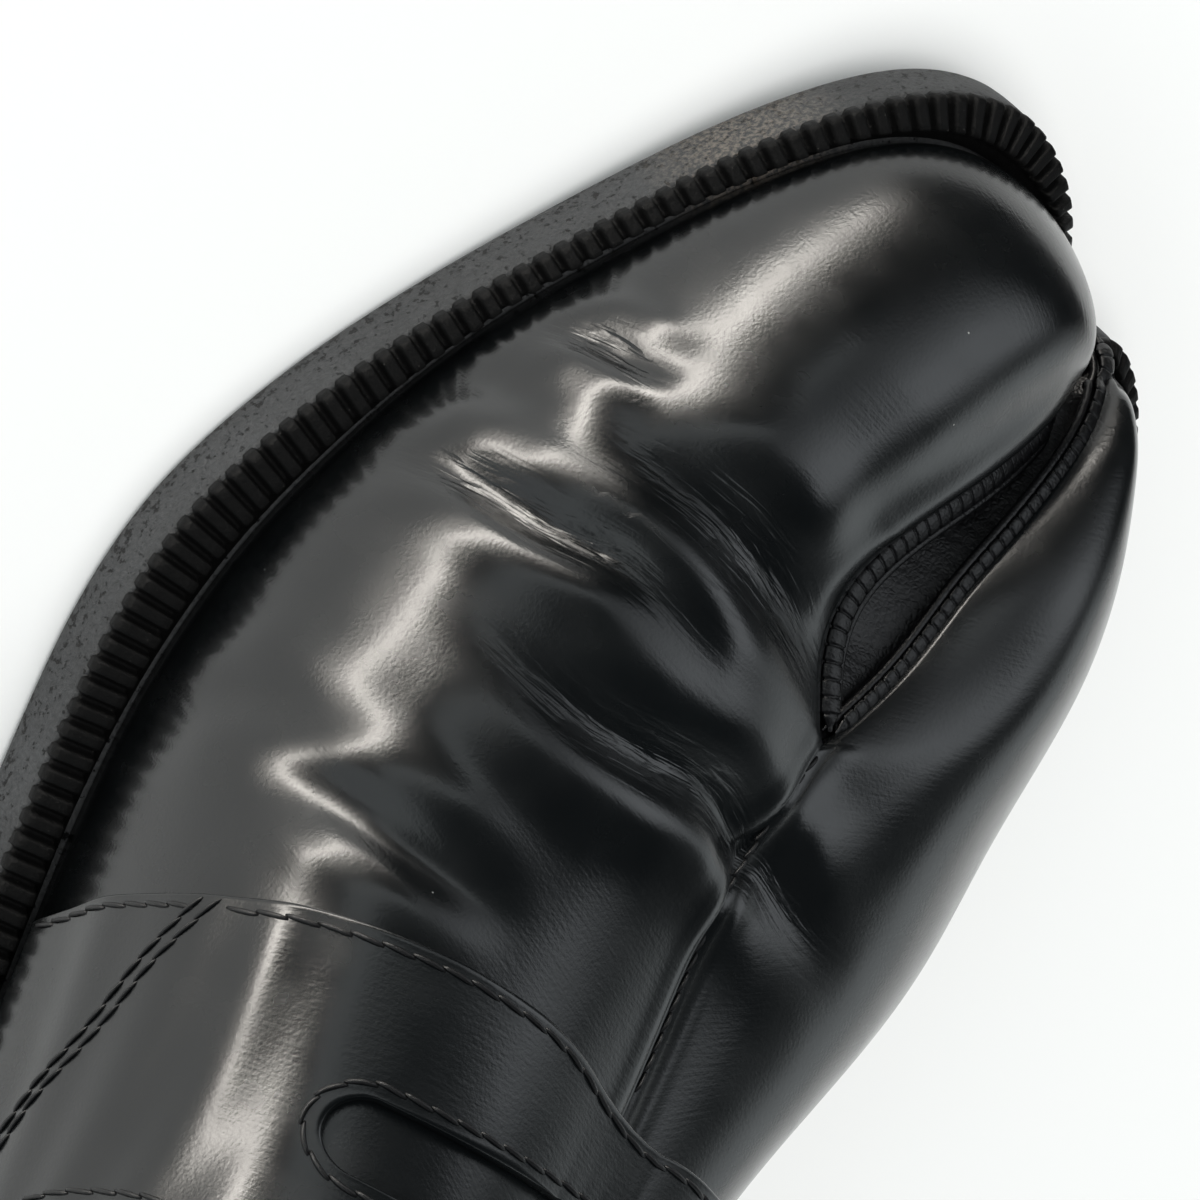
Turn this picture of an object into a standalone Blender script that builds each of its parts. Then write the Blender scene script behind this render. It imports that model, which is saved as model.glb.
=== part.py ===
import bpy
import numpy as np
from mathutils import Vector
from mathutils.geometry import delaunay_2d_cdt

# Sizes in millimetres: +X is the wearer's right, +Y runs to the toe, +Z is up. A left shoe.
SOLE_THICK_FORE = 7.4
SOLE_THICK_SEAT = 6.0
HEEL_RISE = 17.5
TREAD_BACK = 35.0
TREAD_FRONT = 80.0
SEAT_FRONT = -62.0
TOE_SPRING = 0.00133
HEEL_FRONT = -58.0
LIFT_THICK = 6.5
GAP = 0.3
STRAP_GAP = 0.45
UPPER_WALL = 1.8
GUSSET_WALL = 1.2
STRAP_WALL = 1.5
TONGUE_WALL = 2.0
INSOLE_THICK = 2.6
RIB_PITCH = 2.4
RIB_DEPTH = 0.9
WELT_OUTER_RISE = 1.6
WELT_INNER_RISE = 3.6

# One row a station from the heel's back to the toe split: sole edge, foot of the upper.
# Columns: sole_x, sole_y, foot_x, foot_y
LATERAL_PLAN = (
    (-2.5, -145.0, -2.5, -141.0),
    (-22.0, -139.0, -20.0, -135.8),
    (-34.5, -121.5, -31.0, -120.0),
    (-38.5, -97.0, -34.8, -97.0),
    (-38.5, -70.0, -34.6, -70.0),
    (-38.5, -43.0, -33.6, -43.0),
    (-40.0, -18.0, -34.0, -18.0),
    (-42.5, 3.0, -36.0, 2.0),
    (-45.2, 18.0, -38.0, 15.0),
    (-47.8, 31.0, -40.5, 28.0),
    (-50.4, 43.0, -42.8, 40.0),
    (-51.6, 54.0, -43.8, 52.0),
    (-50.9, 64.0, -43.2, 64.0),
    (-48.4, 73.8, -41.0, 75.5),
    (-44.9, 83.3, -38.0, 86.0),
    (-40.5, 93.0, -33.8, 96.5),
    (-35.6, 102.7, -29.0, 106.0),
    (-30.0, 113.2, -23.5, 116.0),
    (-24.2, 123.4, -17.8, 124.8),
    (-17.8, 132.8, -12.0, 131.6),
    (-10.1, 140.8, -5.2, 135.9),
    (-1.0, 144.7, 2.2, 137.2),
    (7.6, 143.2, 9.2, 136.0),
    (14.0, 138.8, 14.0, 132.6),
    (18.2, 132.6, 17.0, 127.6),
    (20.2, 125.0, 18.2, 122.0),
)
MEDIAL_PLAN = (
    (-2.5, -145.0, -2.5, -141.0),
    (17.0, -139.0, 15.0, -135.8),
    (29.0, -121.5, 25.4, -120.0),
    (32.5, -97.0, 29.0, -97.0),
    (32.0, -70.0, 28.4, -70.0),
    (30.0, -43.0, 26.0, -43.0),
    (30.2, -18.0, 25.4, -18.0),
    (33.0, 3.0, 27.0, 3.0),
    (36.6, 18.0, 28.6, 18.0),
    (41.0, 33.0, 31.4, 31.0),
    (46.2, 48.0, 36.0, 45.0),
    (50.4, 60.0, 41.6, 57.0),
    (52.0, 71.0, 44.4, 69.0),
    (51.4, 82.0, 43.8, 81.5),
    (50.4, 92.0, 43.4, 92.0),
    (49.2, 101.0, 42.4, 101.0),
    (47.0, 109.0, 40.6, 109.0),
    (44.2, 116.3, 38.4, 115.4),
    (40.6, 122.6, 36.0, 120.4),
    (36.4, 127.8, 33.4, 124.2),
    (31.8, 131.2, 31.0, 126.5),
    (27.4, 132.4, 29.0, 127.6),
    (24.3, 130.2, 27.6, 127.9),
    (22.9, 125.0, 26.5, 127.3),
)
SPLIT_APEX = (21.4, 114.0, 21.8, 107.0)

# The collar's edge, station 0 to 9, then the centre seam shared by both halves, station 9 to 14,
# then each lobe's edge along the split. Columns: x, y, z
LATERAL_COLLAR = (
    (-2.5, -134.5, 79.0),
    (-15.5, -128.0, 77.5),
    (-25.5, -112.0, 73.5),
    (-30.5, -89.0, 69.0),
    (-32.5, -66.0, 66.5),
    (-32.0, -46.0, 67.5),
    (-29.0, -28.0, 69.5),
    (-23.0, -12.0, 70.8),
    (-13.5, -3.4, 71.4),
    (-3.0, -2.0, 71.0),
)
MEDIAL_COLLAR = (
    (-2.5, -134.5, 79.0),
    (10.5, -128.0, 77.5),
    (20.0, -112.0, 73.5),
    (25.0, -89.0, 69.5),
    (26.5, -66.0, 67.5),
    (25.5, -46.0, 68.5),
    (23.0, -28.0, 70.5),
    (17.0, -12.0, 71.2),
    (7.5, -3.4, 71.4),
    (-3.0, -2.0, 71.0),
)
CENTRE_SEAM = (
    (-3.0, -2.0, 71.0),
    (-0.5, 14.0, 63.4),
    (2.5, 30.0, 55.6),
    (4.0, 46.0, 48.4),
    (4.4, 62.0, 42.8),
    (8.0, 79.0, 37.5),
)
LATERAL_SPLIT = (
    (8.0, 79.0, 37.5),
    (4.0, 90.0, 32.0),
    (7.0, 100.0, 28.5),
    (12.5, 108.0, 25.5),
    (16.2, 113.2, 23.0),
    (18.6, 116.8, 21.0),
    (20.0, 119.4, 19.6),
    (20.7, 121.0, 18.4),
    (21.0, 122.0, 17.4),
    (21.0, 122.4, 16.6),
    (20.8, 122.2, 16.0),
    (20.4, 121.2, 15.6),
)
MEDIAL_SPLIT = (
    (8.0, 79.0, 37.5),
    (14.3, 90.0, 32.5),
    (17.3, 100.0, 29.2),
    (20.2, 108.0, 26.6),
    (22.6, 114.5, 24.2),
    (24.3, 119.5, 22.0),
    (25.4, 123.2, 19.8),
    (26.0, 125.8, 17.8),
    (26.2, 126.8, 16.4),
    (26.2, 126.8, 15.4),
)
# The section from foot to edge at each station: side bulge, crown height, squareness power
LATERAL_FORM = (
    (2.5, 0.0, 0.95),
    (2.5, 0.0, 0.95),
    (2.2, 0.0, 0.95),
    (1.8, 0.0, 0.95),
    (1.6, 0.0, 0.95),
    (1.6, 0.0, 0.95),
    (2.0, 0.0, 0.95),
    (2.6, 0.0, 0.95),
    (3.0, 0.5, 0.95),
    (3.2, 1.0, 0.95),
    (3.2, 1.5, 0.92),
    (3.0, 2.0, 0.90),
    (2.8, 2.5, 0.88),
    (2.5, 3.5, 0.86),
    (2.2, 5.0, 0.84),
    (2.0, 7.5, 0.82),
    (1.8, 9.0, 0.80),
    (1.7, 10.0, 0.80),
    (1.6, 10.5, 0.80),
    (1.6, 10.8, 0.80),
    (1.6, 10.5, 0.80),
    (1.6, 9.5, 0.80),
    (1.6, 8.0, 0.80),
    (1.5, 6.0, 0.80),
    (1.3, 3.5, 0.80),
    (0.8, 1.0, 0.80),
)
MEDIAL_FORM = (
    (2.5, 0.0, 0.95),
    (2.4, 0.0, 0.95),
    (2.0, 0.0, 0.95),
    (1.5, 0.0, 0.95),
    (1.2, 0.0, 0.95),
    (1.4, 0.0, 0.96),
    (1.6, 0.0, 1.00),
    (1.6, -0.4, 1.02),
    (1.6, -1.2, 1.04),
    (1.6, -1.8, 1.05),
    (1.8, -2.0, 1.05),
    (2.0, -1.6, 1.02),
    (2.2, -0.4, 0.96),
    (2.2, 1.2, 0.92),
    (2.0, 3.0, 0.88),
    (2.0, 4.8, 0.85),
    (1.8, 5.4, 0.82),
    (1.6, 5.0, 0.81),
    (1.4, 4.2, 0.82),
    (1.3, 3.4, 0.83),
    (1.2, 2.6, 0.84),
    (0.9, 1.8, 0.84),
    (0.5, 1.2, 0.80),
    (0.3, 0.3, 0.80),
)
THROAT = 9
SPLIT = 14
# Front and rear edge of the strap as stations, from the welt (0) to the centre seam (1)
# Columns: height, lateral_front, lateral_rear, medial_front, medial_rear
STRAP_EDGES = (
    (0.00, 8.20, 5.80, 8.20, 5.90),
    (0.15, 8.90, 6.25, 8.65, 6.35),
    (0.30, 9.75, 6.95, 9.25, 6.95),
    (0.50, 10.55, 7.85, 9.95, 7.75),
    (0.70, 11.10, 8.70, 10.55, 8.60),
    (0.85, 11.45, 9.30, 11.05, 9.20),
    (1.00, 11.55, 9.75, 11.55, 9.75),
)
SLOT_LENGTH = 38.0
SLOT_WIDTH = 7.0
SLOT_BEND = 1.6
SLOT_CENTRE = (-10.0, 24.4)


def smooth(rows, at):
    """Smooth curve through the rows of a table, read at fractional row numbers."""
    rows = np.asarray(rows, float)
    at = np.asarray(at, float)
    slope = np.gradient(rows, axis=0)
    low = np.clip(np.floor(at).astype(int), 0, len(rows) - 2)
    t = (at - low)[..., None]
    start = rows[low] * (2 * t**3 - 3 * t**2 + 1) + slope[low] * (t**3 - 2 * t**2 + t)
    end = rows[low + 1] * (3 * t**2 - 2 * t**3) + slope[low + 1] * (t**3 - t**2)
    return start + end


def sole_under(y):
    """Height of the outsole's underside: heel rise, flat tread, toe spring."""
    ease = np.clip((TREAD_BACK - y) / (TREAD_BACK - SEAT_FRONT), 0.0, 1.0)
    spring = np.clip(y - TREAD_FRONT, 0.0, None)
    return HEEL_RISE * ease**2 * (3 - 2 * ease) + TOE_SPRING * spring**2


def sole_top(y):
    ease = np.clip((20.0 - y) / 60.0, 0.0, 1.0)
    thick = SOLE_THICK_FORE + (SOLE_THICK_SEAT - SOLE_THICK_FORE) * ease**2 * (3 - 2 * ease)
    return sole_under(y) + thick


def half(plan, other, collar, split, form):
    """One half of the shoe: tables padded past the heel's back by the other half's first station."""
    plan = np.asarray(plan, float)
    return {
        "plan": np.vstack([np.asarray(other, float)[1], plan, SPLIT_APEX]),
        "collar": np.asarray(collar, float),
        "split": np.asarray(split, float),
        "form": np.asarray(form, float),
        "last": len(plan) - 1,
        "turn": 1.0 if plan[4, 0] < 0 else -1.0,
    }


def edge_line(side, k):
    """Upper edge of a section: the collar, the centre seam, then the lobe's edge."""
    k = np.asarray(k, float)
    at_collar = smooth(side["collar"], np.clip(k, 0, THROAT))
    at_seam = smooth(CENTRE_SEAM, np.clip(k - THROAT, 0, SPLIT - THROAT))
    at_split = smooth(side["split"], np.clip(k - SPLIT, 0, len(side["split"]) - 1))
    k = k[..., None]
    return np.where(k <= THROAT, at_collar, np.where(k <= SPLIT, at_seam, at_split))


def upper_point(side, k, v):
    """A point of the upper's outside: from the foot line (v 0) a squared quarter ellipse rises to
    the edge line (v 1), pushed out by the side bulge and up by the crown."""
    k, v = np.broadcast_arrays(np.asarray(k, float), np.asarray(v, float))
    foot = smooth(side["plan"], k + 1)[..., 2:]
    ahead = smooth(side["plan"], k + 1.02)[..., 2:] - smooth(side["plan"], k + 0.98)[..., 2:]
    ahead /= np.linalg.norm(ahead, axis=-1, keepdims=True)
    out = np.stack([-ahead[..., 1], ahead[..., 0]], -1) * side["turn"]
    top = edge_line(side, k)
    bulge, crown, square = np.moveaxis(smooth(side["form"], k), -1, 0)
    angle = np.clip(v, 0, 1) * np.pi / 2
    across = 1 - np.cos(angle) ** square
    rise = np.sin(angle) ** square
    push = bulge * 6.75 * v * (1 - v) ** 2
    low = sole_top(foot[..., 1]) + GAP
    xy = foot + (top[..., :2] - foot) * across[..., None] + out * push[..., None]
    z = low + (top[..., 2] - low) * rise + crown * np.sin(np.pi * np.clip(across, 0, 1))
    return np.concatenate([xy, z[..., None]], -1)


def normals(grid, turn):
    """Outward unit normals of a grid of points [station, height]."""
    du = np.gradient(grid, axis=0)
    dv = np.gradient(grid, axis=1)
    n = np.cross(dv, du) * turn
    return n / np.maximum(np.linalg.norm(n, axis=-1, keepdims=True), 1e-9)


LATERAL = half(LATERAL_PLAN, MEDIAL_PLAN, LATERAL_COLLAR, LATERAL_SPLIT, LATERAL_FORM)
MEDIAL = half(MEDIAL_PLAN, LATERAL_PLAN, MEDIAL_COLLAR, MEDIAL_SPLIT, MEDIAL_FORM)


def plan_loop(step):
    """Sole edge and foot line as one closed run round the shoe, with the station of each point."""
    left = np.arange(0, LATERAL["last"] + 1, step)
    right = np.arange(0, MEDIAL["last"] + 1, step)
    run = [smooth(LATERAL["plan"], left + 1), np.asarray([SPLIT_APEX], float)]
    run.append(smooth(MEDIAL["plan"], right[:0:-1] + 1))
    return np.vstack(run)


def inset(loop, by):
    """The loop moved inwards along its normals; by may be a number a point."""
    ahead = np.roll(loop, -1, 0) - np.roll(loop, 1, 0)
    ahead /= np.linalg.norm(ahead, axis=1, keepdims=True)
    return loop + np.c_[ahead[:, 1], -ahead[:, 0]] * np.broadcast_to(by, len(loop))[:, None]


CENTRE = np.array([0.0, 0.0, 0.0])
WHOLE = plan_loop(0.1)[:, :2]
CENTRE[:2] = (WHOLE.min(0) + WHOLE.max(0)) / 2

for old in list(bpy.data.objects):
    bpy.data.objects.remove(old, do_unlink=True)
PARTS = bpy.data.collections.new("tabi_loafer")
CUTTERS = bpy.data.collections.new("cutters")
bpy.context.scene.collection.children.link(PARTS)
bpy.context.scene.collection.children.link(CUTTERS)


def add(name, points, faces, colour, rough, home=PARTS):
    """A named object from points in millimetres."""
    mesh = bpy.data.meshes.new(name)
    points = (np.asarray(points, float) - CENTRE) * 0.001
    mesh.from_pydata(points.tolist(), [], [list(map(int, f)) for f in faces])
    mesh.validate()
    made = bpy.data.objects.new(name, mesh)
    home.objects.link(made)
    material = bpy.data.materials.new(name)
    material.use_nodes = True
    shader = material.node_tree.nodes["Principled BSDF"]
    shader.inputs["Base Color"].default_value = (*colour, 1.0)
    shader.inputs["Roughness"].default_value = rough
    mesh.materials.append(material)
    return made


def cap(loop, spacing):
    """Inside points and triangles of a plan outline."""
    low, high = loop.min(0), loop.max(0)
    xs = np.arange(low[0], high[0], spacing)
    ys = np.arange(low[1], high[1], spacing)
    mesh = np.stack(np.meshgrid(xs, ys), -1).reshape(-1, 2)
    nearest = np.linalg.norm(mesh[:, None] - loop[None], axis=2).min(1)
    mesh = mesh[nearest > 0.7 * spacing]
    ring = np.arange(len(loop))
    rim = [(int(a), int(b)) for a, b in zip(ring, np.roll(ring, -1))]
    points = np.vstack([loop, mesh])
    found = delaunay_2d_cdt([Vector(p) for p in points.tolist()], rim, [], 1, 1e-6)
    source = [first[0] for first in found[3]]
    used = sorted({source[i] for face in found[2] for i in face} - set(range(len(loop))))
    number = {old: new for new, old in enumerate([*range(len(loop)), *used])}
    faces = [[number[source[i]] for i in face] for face in found[2]]
    return points[used], faces


def plate(name, rings, under, over, spacing, colour, rough):
    """A plate from plan rings, lowest first, each with its heights; under and over give the
    heights of the inside points."""
    count = len(rings[0][0])
    inner, faces = cap(rings[0][0], spacing)
    points = [np.c_[xy, z] for xy, z in rings]
    low = len(rings) * count
    points.append(np.c_[inner, under(inner[:, 1])])
    points.append(np.c_[inner, over(inner[:, 1])])
    high = low + len(inner)
    top = (len(rings) - 1) * count
    sign = np.sum(rings[0][0][:, 0] * np.roll(rings[0][0][:, 1], -1))
    sign -= np.sum(rings[0][0][:, 1] * np.roll(rings[0][0][:, 0], -1))
    solid = []
    for face in faces:
        solid.append([i if i < count else low + i - count for i in face[::-1]])
        solid.append([top + i if i < count else high + i - count for i in face])
    for ring in range(len(rings) - 1):
        for i in range(count):
            j = (i + 1) % count
            start = ring * count
            quad = [start + i, start + j, start + count + j, start + count + i]
            solid.append(quad if sign > 0 else quad[::-1])
    return add(name, np.vstack(points), solid, colour, rough)


def skin(outer, inner):
    """A closed sheet between two grids of points: faces and points."""
    rows, cols = outer.shape[:2]
    number = np.arange(rows * cols).reshape(rows, cols)
    under = number + rows * cols
    faces = []
    for i in range(rows - 1):
        for j in range(cols - 1):
            faces.append([number[i, j], number[i + 1, j], number[i + 1, j + 1], number[i, j + 1]])
            faces.append([under[i, j + 1], under[i + 1, j + 1], under[i + 1, j], under[i, j]])
    for j in range(cols - 1):
        faces.append([number[0, j], number[0, j + 1], under[0, j + 1], under[0, j]])
        faces.append([under[-1, j], under[-1, j + 1], number[-1, j + 1], number[-1, j]])
    for i in range(rows - 1):
        faces.append([under[i, 0], under[i + 1, 0], number[i + 1, 0], number[i, 0]])
        faces.append([number[i, -1], number[i + 1, -1], under[i + 1, -1], under[i, -1]])
    return np.vstack([outer.reshape(-1, 3), inner.reshape(-1, 3)]), faces


def outward(made):
    """Turns the faces of a closed mesh so that they point out."""
    mesh = made.data
    corners = np.array([list(mesh.vertices[i].co) for p in mesh.polygons for i in p.vertices[:3]])
    centre = corners.mean(0)
    tri = corners.reshape(-1, 3, 3) - centre
    if np.linalg.det(tri).sum() < 0:
        mesh.flip_normals()
    return made


# Outsole: notched plate with a rounded tread edge and a side that leans in to the welt
sole_edge = plan_loop(0.5)
from_apex = (sole_edge[:, 0] - SPLIT_APEX[0]) ** 2 / 12
from_apex += np.clip(128 - sole_edge[:, 1], 0, None) ** 2 / 300
room = 1 - 0.85 * np.exp(-from_apex) * (sole_edge[:, 1] > 100)
outline = sole_edge[:, :2]
rings = []
for into, up in ((0.7, 0.0), (0.0, 1.0), (0.4, 4.5), (1.0, 7.4)):
    ring = inset(outline, into * room)
    share = up / SOLE_THICK_FORE
    rings.append((ring, sole_under(ring[:, 1]) * (1 - share) + sole_top(ring[:, 1]) * share))
plate("outsole", rings, sole_under, sole_top, 11.0, (0.03, 0.03, 0.03), 0.6)

# Heel block and its wear layer
back = outline[outline[:, 1] < HEEL_FRONT - 2]
order = np.argsort(np.arctan2(back[:, 0] + 2.5, -(back[:, 1] - HEEL_FRONT)))
back = back[order]
across = np.linspace(0, 1, 9)[1:-1, None]
breast = back[-1] + (back[0] - back[-1]) * across
breast[:, 1] -= 3.0 * np.sin(np.pi * across[:, 0])
heel_loop = np.vstack([back, breast])
bend = np.cross(heel_loop[1] - heel_loop[0], heel_loop[5] - heel_loop[1])
heel_top = inset(heel_loop, -1.0 if bend > 0 else 1.0)
flat = lambda height: (lambda y: np.full_like(np.asarray(y, float), height))
under_sole = lambda y: sole_under(y) - GAP
plate("heel", [(heel_top, flat(LIFT_THICK + GAP)(heel_top[:, 1])), (heel_top, under_sole(heel_top[:, 1]))],
      flat(LIFT_THICK + GAP), under_sole, 9.0, (0.03, 0.03, 0.03), 0.6)
plate("top_lift", [(heel_top, flat(0.0)(heel_top[:, 1])), (heel_top, flat(LIFT_THICK)(heel_top[:, 1]))],
      flat(0.0), flat(LIFT_THICK), 9.0, (0.02, 0.02, 0.02), 0.8)

# Upper: both halves as grids, shared along the heel's back and the centre seam
HEIGHTS = np.linspace(0.0, 1.0, 11)


def half_grid(side):
    """Stations, outside points and inside points of one half."""
    k = np.concatenate([np.linspace(0, THROAT, 17), np.linspace(THROAT, SPLIT, 11)[1:],
                        np.linspace(SPLIT, side["last"], 23)[1:]])
    outside = upper_point(side, k[:, None], HEIGHTS[None])
    face = normals(outside, side["turn"])
    face[:, -1] = face[:, -2]
    face[1:-1] = (face[:-2] + face[1:-1] + face[2:]) / 3
    face[:, 0, 2] = 0.0
    face /= np.linalg.norm(face, axis=-1, keepdims=True)
    return k, outside, face


k_left, out_left, face_left = half_grid(LATERAL)
k_right, out_right, face_right = half_grid(MEDIAL)
on_seam = np.flatnonzero((k_left >= THROAT - 1e-6) & (k_left <= SPLIT + 1e-6))
mean = face_left[on_seam, -1] + face_right[on_seam, -1]
face_left[on_seam, -1] = face_right[on_seam, -1] = mean / np.linalg.norm(mean, axis=-1, keepdims=True)
mean = face_left[0] + face_right[0]
face_left[0] = face_right[0] = mean / np.linalg.norm(mean, axis=-1, keepdims=True)
out_right[on_seam, -1] = out_left[on_seam, -1]
out_right[0] = out_left[0]
wide = len(HEIGHTS)
number_left = np.arange(len(k_left) * wide).reshape(-1, wide)
number_right = number_left.size + np.arange(len(k_right) * wide).reshape(-1, wide)
number_right[on_seam, -1] = number_left[on_seam, -1]
number_right[0] = number_left[0]
shell = np.vstack([out_left.reshape(-1, 3), out_right.reshape(-1, 3)])
shell_in = shell - UPPER_WALL * np.vstack([face_left.reshape(-1, 3), face_right.reshape(-1, 3)])
count = len(shell)
faces = []
for number, k, turn in ((number_left, k_left, 1), (number_right, k_right, -1)):
    loops = []
    for i in range(len(k) - 1):
        for j in range(wide - 1):
            quad = [number[i, j], number[i, j + 1], number[i + 1, j + 1], number[i + 1, j]]
            loops += [quad, [q + count for q in quad[::-1]]]
        a, b = number[i, 0], number[i + 1, 0]
        loops.append([a, b, b + count, a + count])
        if not (k[i] >= THROAT - 1e-6 and k[i + 1] <= SPLIT + 1e-6):
            a, b = number[i, -1], number[i + 1, -1]
            loops.append([b, a, a + count, b + count])
    for j in range(wide - 1):
        a, b = number[-1, j], number[-1, j + 1]
        loops.append([a, b, b + count, a + count])
    faces += [loop[::turn] for loop in loops]
points = np.vstack([shell, shell_in])
used = np.unique(np.concatenate([np.ravel(f) for f in faces]))
renumber = np.full(len(points), -1)
renumber[used] = np.arange(len(used))
outward(add("upper", points[used], [[renumber[i] for i in f] for f in faces], (0.01, 0.01, 0.012), 0.25))

# Toe gusset: flanges under both lobe edges and a valley that falls to the welt
VALLEY = ((14.1, 36.0), (15, 27.0), (16, 20.5), (17, 17.0), (18, 15.4), (19, 14.6), (20, 13.9), (21, 13.4))
valley_k, valley_z = np.array(VALLEY).T
k = np.linspace(14.1, 21.0, 18)
edges = []
for side, reach in ((LATERAL, 20.5), (MEDIAL, 21.5)):
    along = SPLIT + (k - SPLIT) * (reach - SPLIT) / 7.0
    fine = upper_point(side, along[:, None], np.linspace(0.76, 1.0, 7)[None])
    face = normals(fine, side["turn"])
    face[:, -1] = face[:, -2]
    edges.append((fine - (UPPER_WALL + GAP) * face)[:, [2, 4, 6]])
left, right = edges[0], edges[1][:, ::-1]
w = np.array([0.12, 0.3, 0.5, 0.7, 0.88])[None, :, None]
dip = left[:, -1:] * (1 - w) + right[:, :1] * w
depth = np.maximum((left[:, -1, 2] + right[:, 0, 2]) / 2 - np.interp(k, valley_k, valley_z), 0.6)
dip[..., 2] -= depth[:, None] * (1 - np.abs(2 * w[..., 0] - 1) ** 1.8)
strip = np.concatenate([left, dip, right], 1)
face = normals(strip, 1.0)
points, faces = skin(strip, strip - GUSSET_WALL * face)
outward(add("toe_gusset", points, faces, (0.02, 0.02, 0.02), 0.7))

# Saddle strap: a band of the upper's own surface, raised, with its slot cut through
edge = np.array(STRAP_EDGES)
v = np.linspace(0.07, 1.0, 15)
part = np.linspace(0, 1, 11)
grids = []
for side, front, rear in ((LATERAL, 1, 2), (MEDIAL, 3, 4)):
    ahead = np.interp(v, edge[:, 0], edge[:, front])
    behind = np.interp(v, edge[:, 0], edge[:, rear])
    k = behind[None] + (ahead - behind)[None] * part[:, None]
    grids.append(upper_point(side, k, np.broadcast_to(v, k.shape)))
band = np.concatenate([grids[0], grids[1][:, -2::-1]], 1)
face = normals(band, 1.0)
points, faces = skin(band + (STRAP_GAP + STRAP_WALL) * face, band + STRAP_GAP * face)
strap = outward(add("saddle_strap", points, faces, (0.01, 0.01, 0.012), 0.25))
turn = np.linspace(0, np.pi, 9)
end = np.c_[np.sin(turn), np.cos(turn)] * SLOT_WIDTH / 2 + (SLOT_LENGTH / 2 - SLOT_WIDTH / 2, 0.0)
middle = np.c_[np.linspace(12, -12, 5), np.full(5, -SLOT_WIDTH / 2)]
lens = np.vstack([end, middle, -end, -middle])
lens[:, 1] -= SLOT_BEND * (2 * lens[:, 0] / SLOT_LENGTH) ** 2
lens += SLOT_CENTRE
prism = np.vstack([np.c_[lens, np.full(len(lens), 45.0)], np.c_[lens, np.full(len(lens), 90.0)]])
n = len(lens)
faces = [list(range(n)), list(range(2 * n - 1, n - 1, -1))]
faces += [[i, i + n, (i + 1) % n + n, (i + 1) % n] for i in range(n)]
cutter = outward(add("slot_cutter", prism, faces, (0.5, 0.5, 0.5), 0.5, CUTTERS))
cutter.hide_render = True
cutter.display_type = "WIRE"
cut = strap.modifiers.new("slot", "BOOLEAN")
cut.operation = "DIFFERENCE"
cut.solver = "EXACT"
cut.object = cutter

# Welt: ribbed strip between the sole's rim and the upper's foot
dense_left = np.arange(4.6, LATERAL["last"] + 1, 0.02)
dense_right = np.arange(4.6, MEDIAL["last"] + 1, 0.02)[::-1]
marks = np.concatenate([dense_left, dense_right])
where = np.concatenate([np.zeros(len(dense_left)), np.ones(len(dense_right))])


def strip_lines(k, on_right):
    """Rim, foot and outward direction at the given stations."""
    rows = []
    for side in (LATERAL, MEDIAL):
        rim = smooth(side["plan"], k + 1)
        ahead = smooth(side["plan"], k + 1.02)[:, 2:] - smooth(side["plan"], k + 0.98)[:, 2:]
        ahead /= np.linalg.norm(ahead, axis=1, keepdims=True)
        out = np.c_[-ahead[:, 1], ahead[:, 0]] * side["turn"]
        rows.append((rim[:, :2], rim[:, 2:], out))
    right = (on_right > 0.5)[:, None]
    return [np.where(right, b, a) for a, b in zip(*rows)]


def overhang(foot, out, ceiling):
    """How far the upper's wall leans out over its foot line below the given height."""
    cloud = []
    for side in (LATERAL, MEDIAL):
        k = np.linspace(4.0, side["last"], 420)[:, None]
        cloud.append(upper_point(side, k, np.linspace(0, 0.7, 22)[None]).reshape(-1, 3))
    cloud = np.vstack(cloud)
    offset = cloud[None, :, :2] - foot[:, None]
    outward_by = (offset * out[:, None]).sum(2)
    along = np.abs(offset[..., 0] * out[:, None, 1] - offset[..., 1] * out[:, None, 0])
    near = (along < 1.3) & (np.abs(outward_by) < 5.0) & (cloud[None, :, 2] < ceiling[:, None])
    return np.where(near, outward_by, 0.0).max(1)


rim = strip_lines(marks, where)[0]
run = np.concatenate([[0], np.cumsum(np.linalg.norm(np.diff(rim, axis=0), axis=1))])
steps = int(run[-1] / (RIB_PITCH / 2)) // 2 * 2
at = np.linspace(0, run[-1], steps + 1)
nearest = np.searchsorted(run, at).clip(0, len(run) - 1)
rim, foot, out = strip_lines(marks[nearest], where[nearest])
into = (foot - rim) / np.linalg.norm(foot - rim, axis=1, keepdims=True)
gone = np.linalg.norm(foot - rim, axis=1)
narrow = np.clip(gone / 6.0, 0.25, 1.0)
rib = np.where(np.arange(len(rim)) % 2, 0.5, -0.5) * RIB_DEPTH
outer_low = rim + into * (1.2 * narrow)[:, None]
outer_top = rim + into * (1.7 * narrow)[:, None]
base = lambda xy: sole_top(xy[:, 1]) + GAP
inner_rise = (WELT_INNER_RISE + 0.4 * rib) * (0.1 + 0.9 * narrow)
lean = overhang(foot, out, base(foot) + inner_rise + 0.6)
inner_top = foot + out * (lean + 0.6)[:, None]
inner_low = foot + out * 0.55
section = np.stack([
    np.c_[outer_low, base(outer_low)],
    np.c_[outer_top, base(outer_top) + WELT_OUTER_RISE + rib],
    np.c_[inner_top, base(inner_top) + inner_rise],
    np.c_[inner_low, base(inner_low)],
], 1)
number = np.arange(section.shape[0] * 4).reshape(-1, 4)
faces = [number[0].tolist()[::-1], number[-1].tolist()]
for i in range(len(number) - 1):
    for j in range(4):
        faces.append([number[i, j], number[i, (j + 1) % 4], number[i + 1, (j + 1) % 4], number[i + 1, j]])
outward(add("welt", section.reshape(-1, 3), faces, (0.02, 0.02, 0.02), 0.7))

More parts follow.
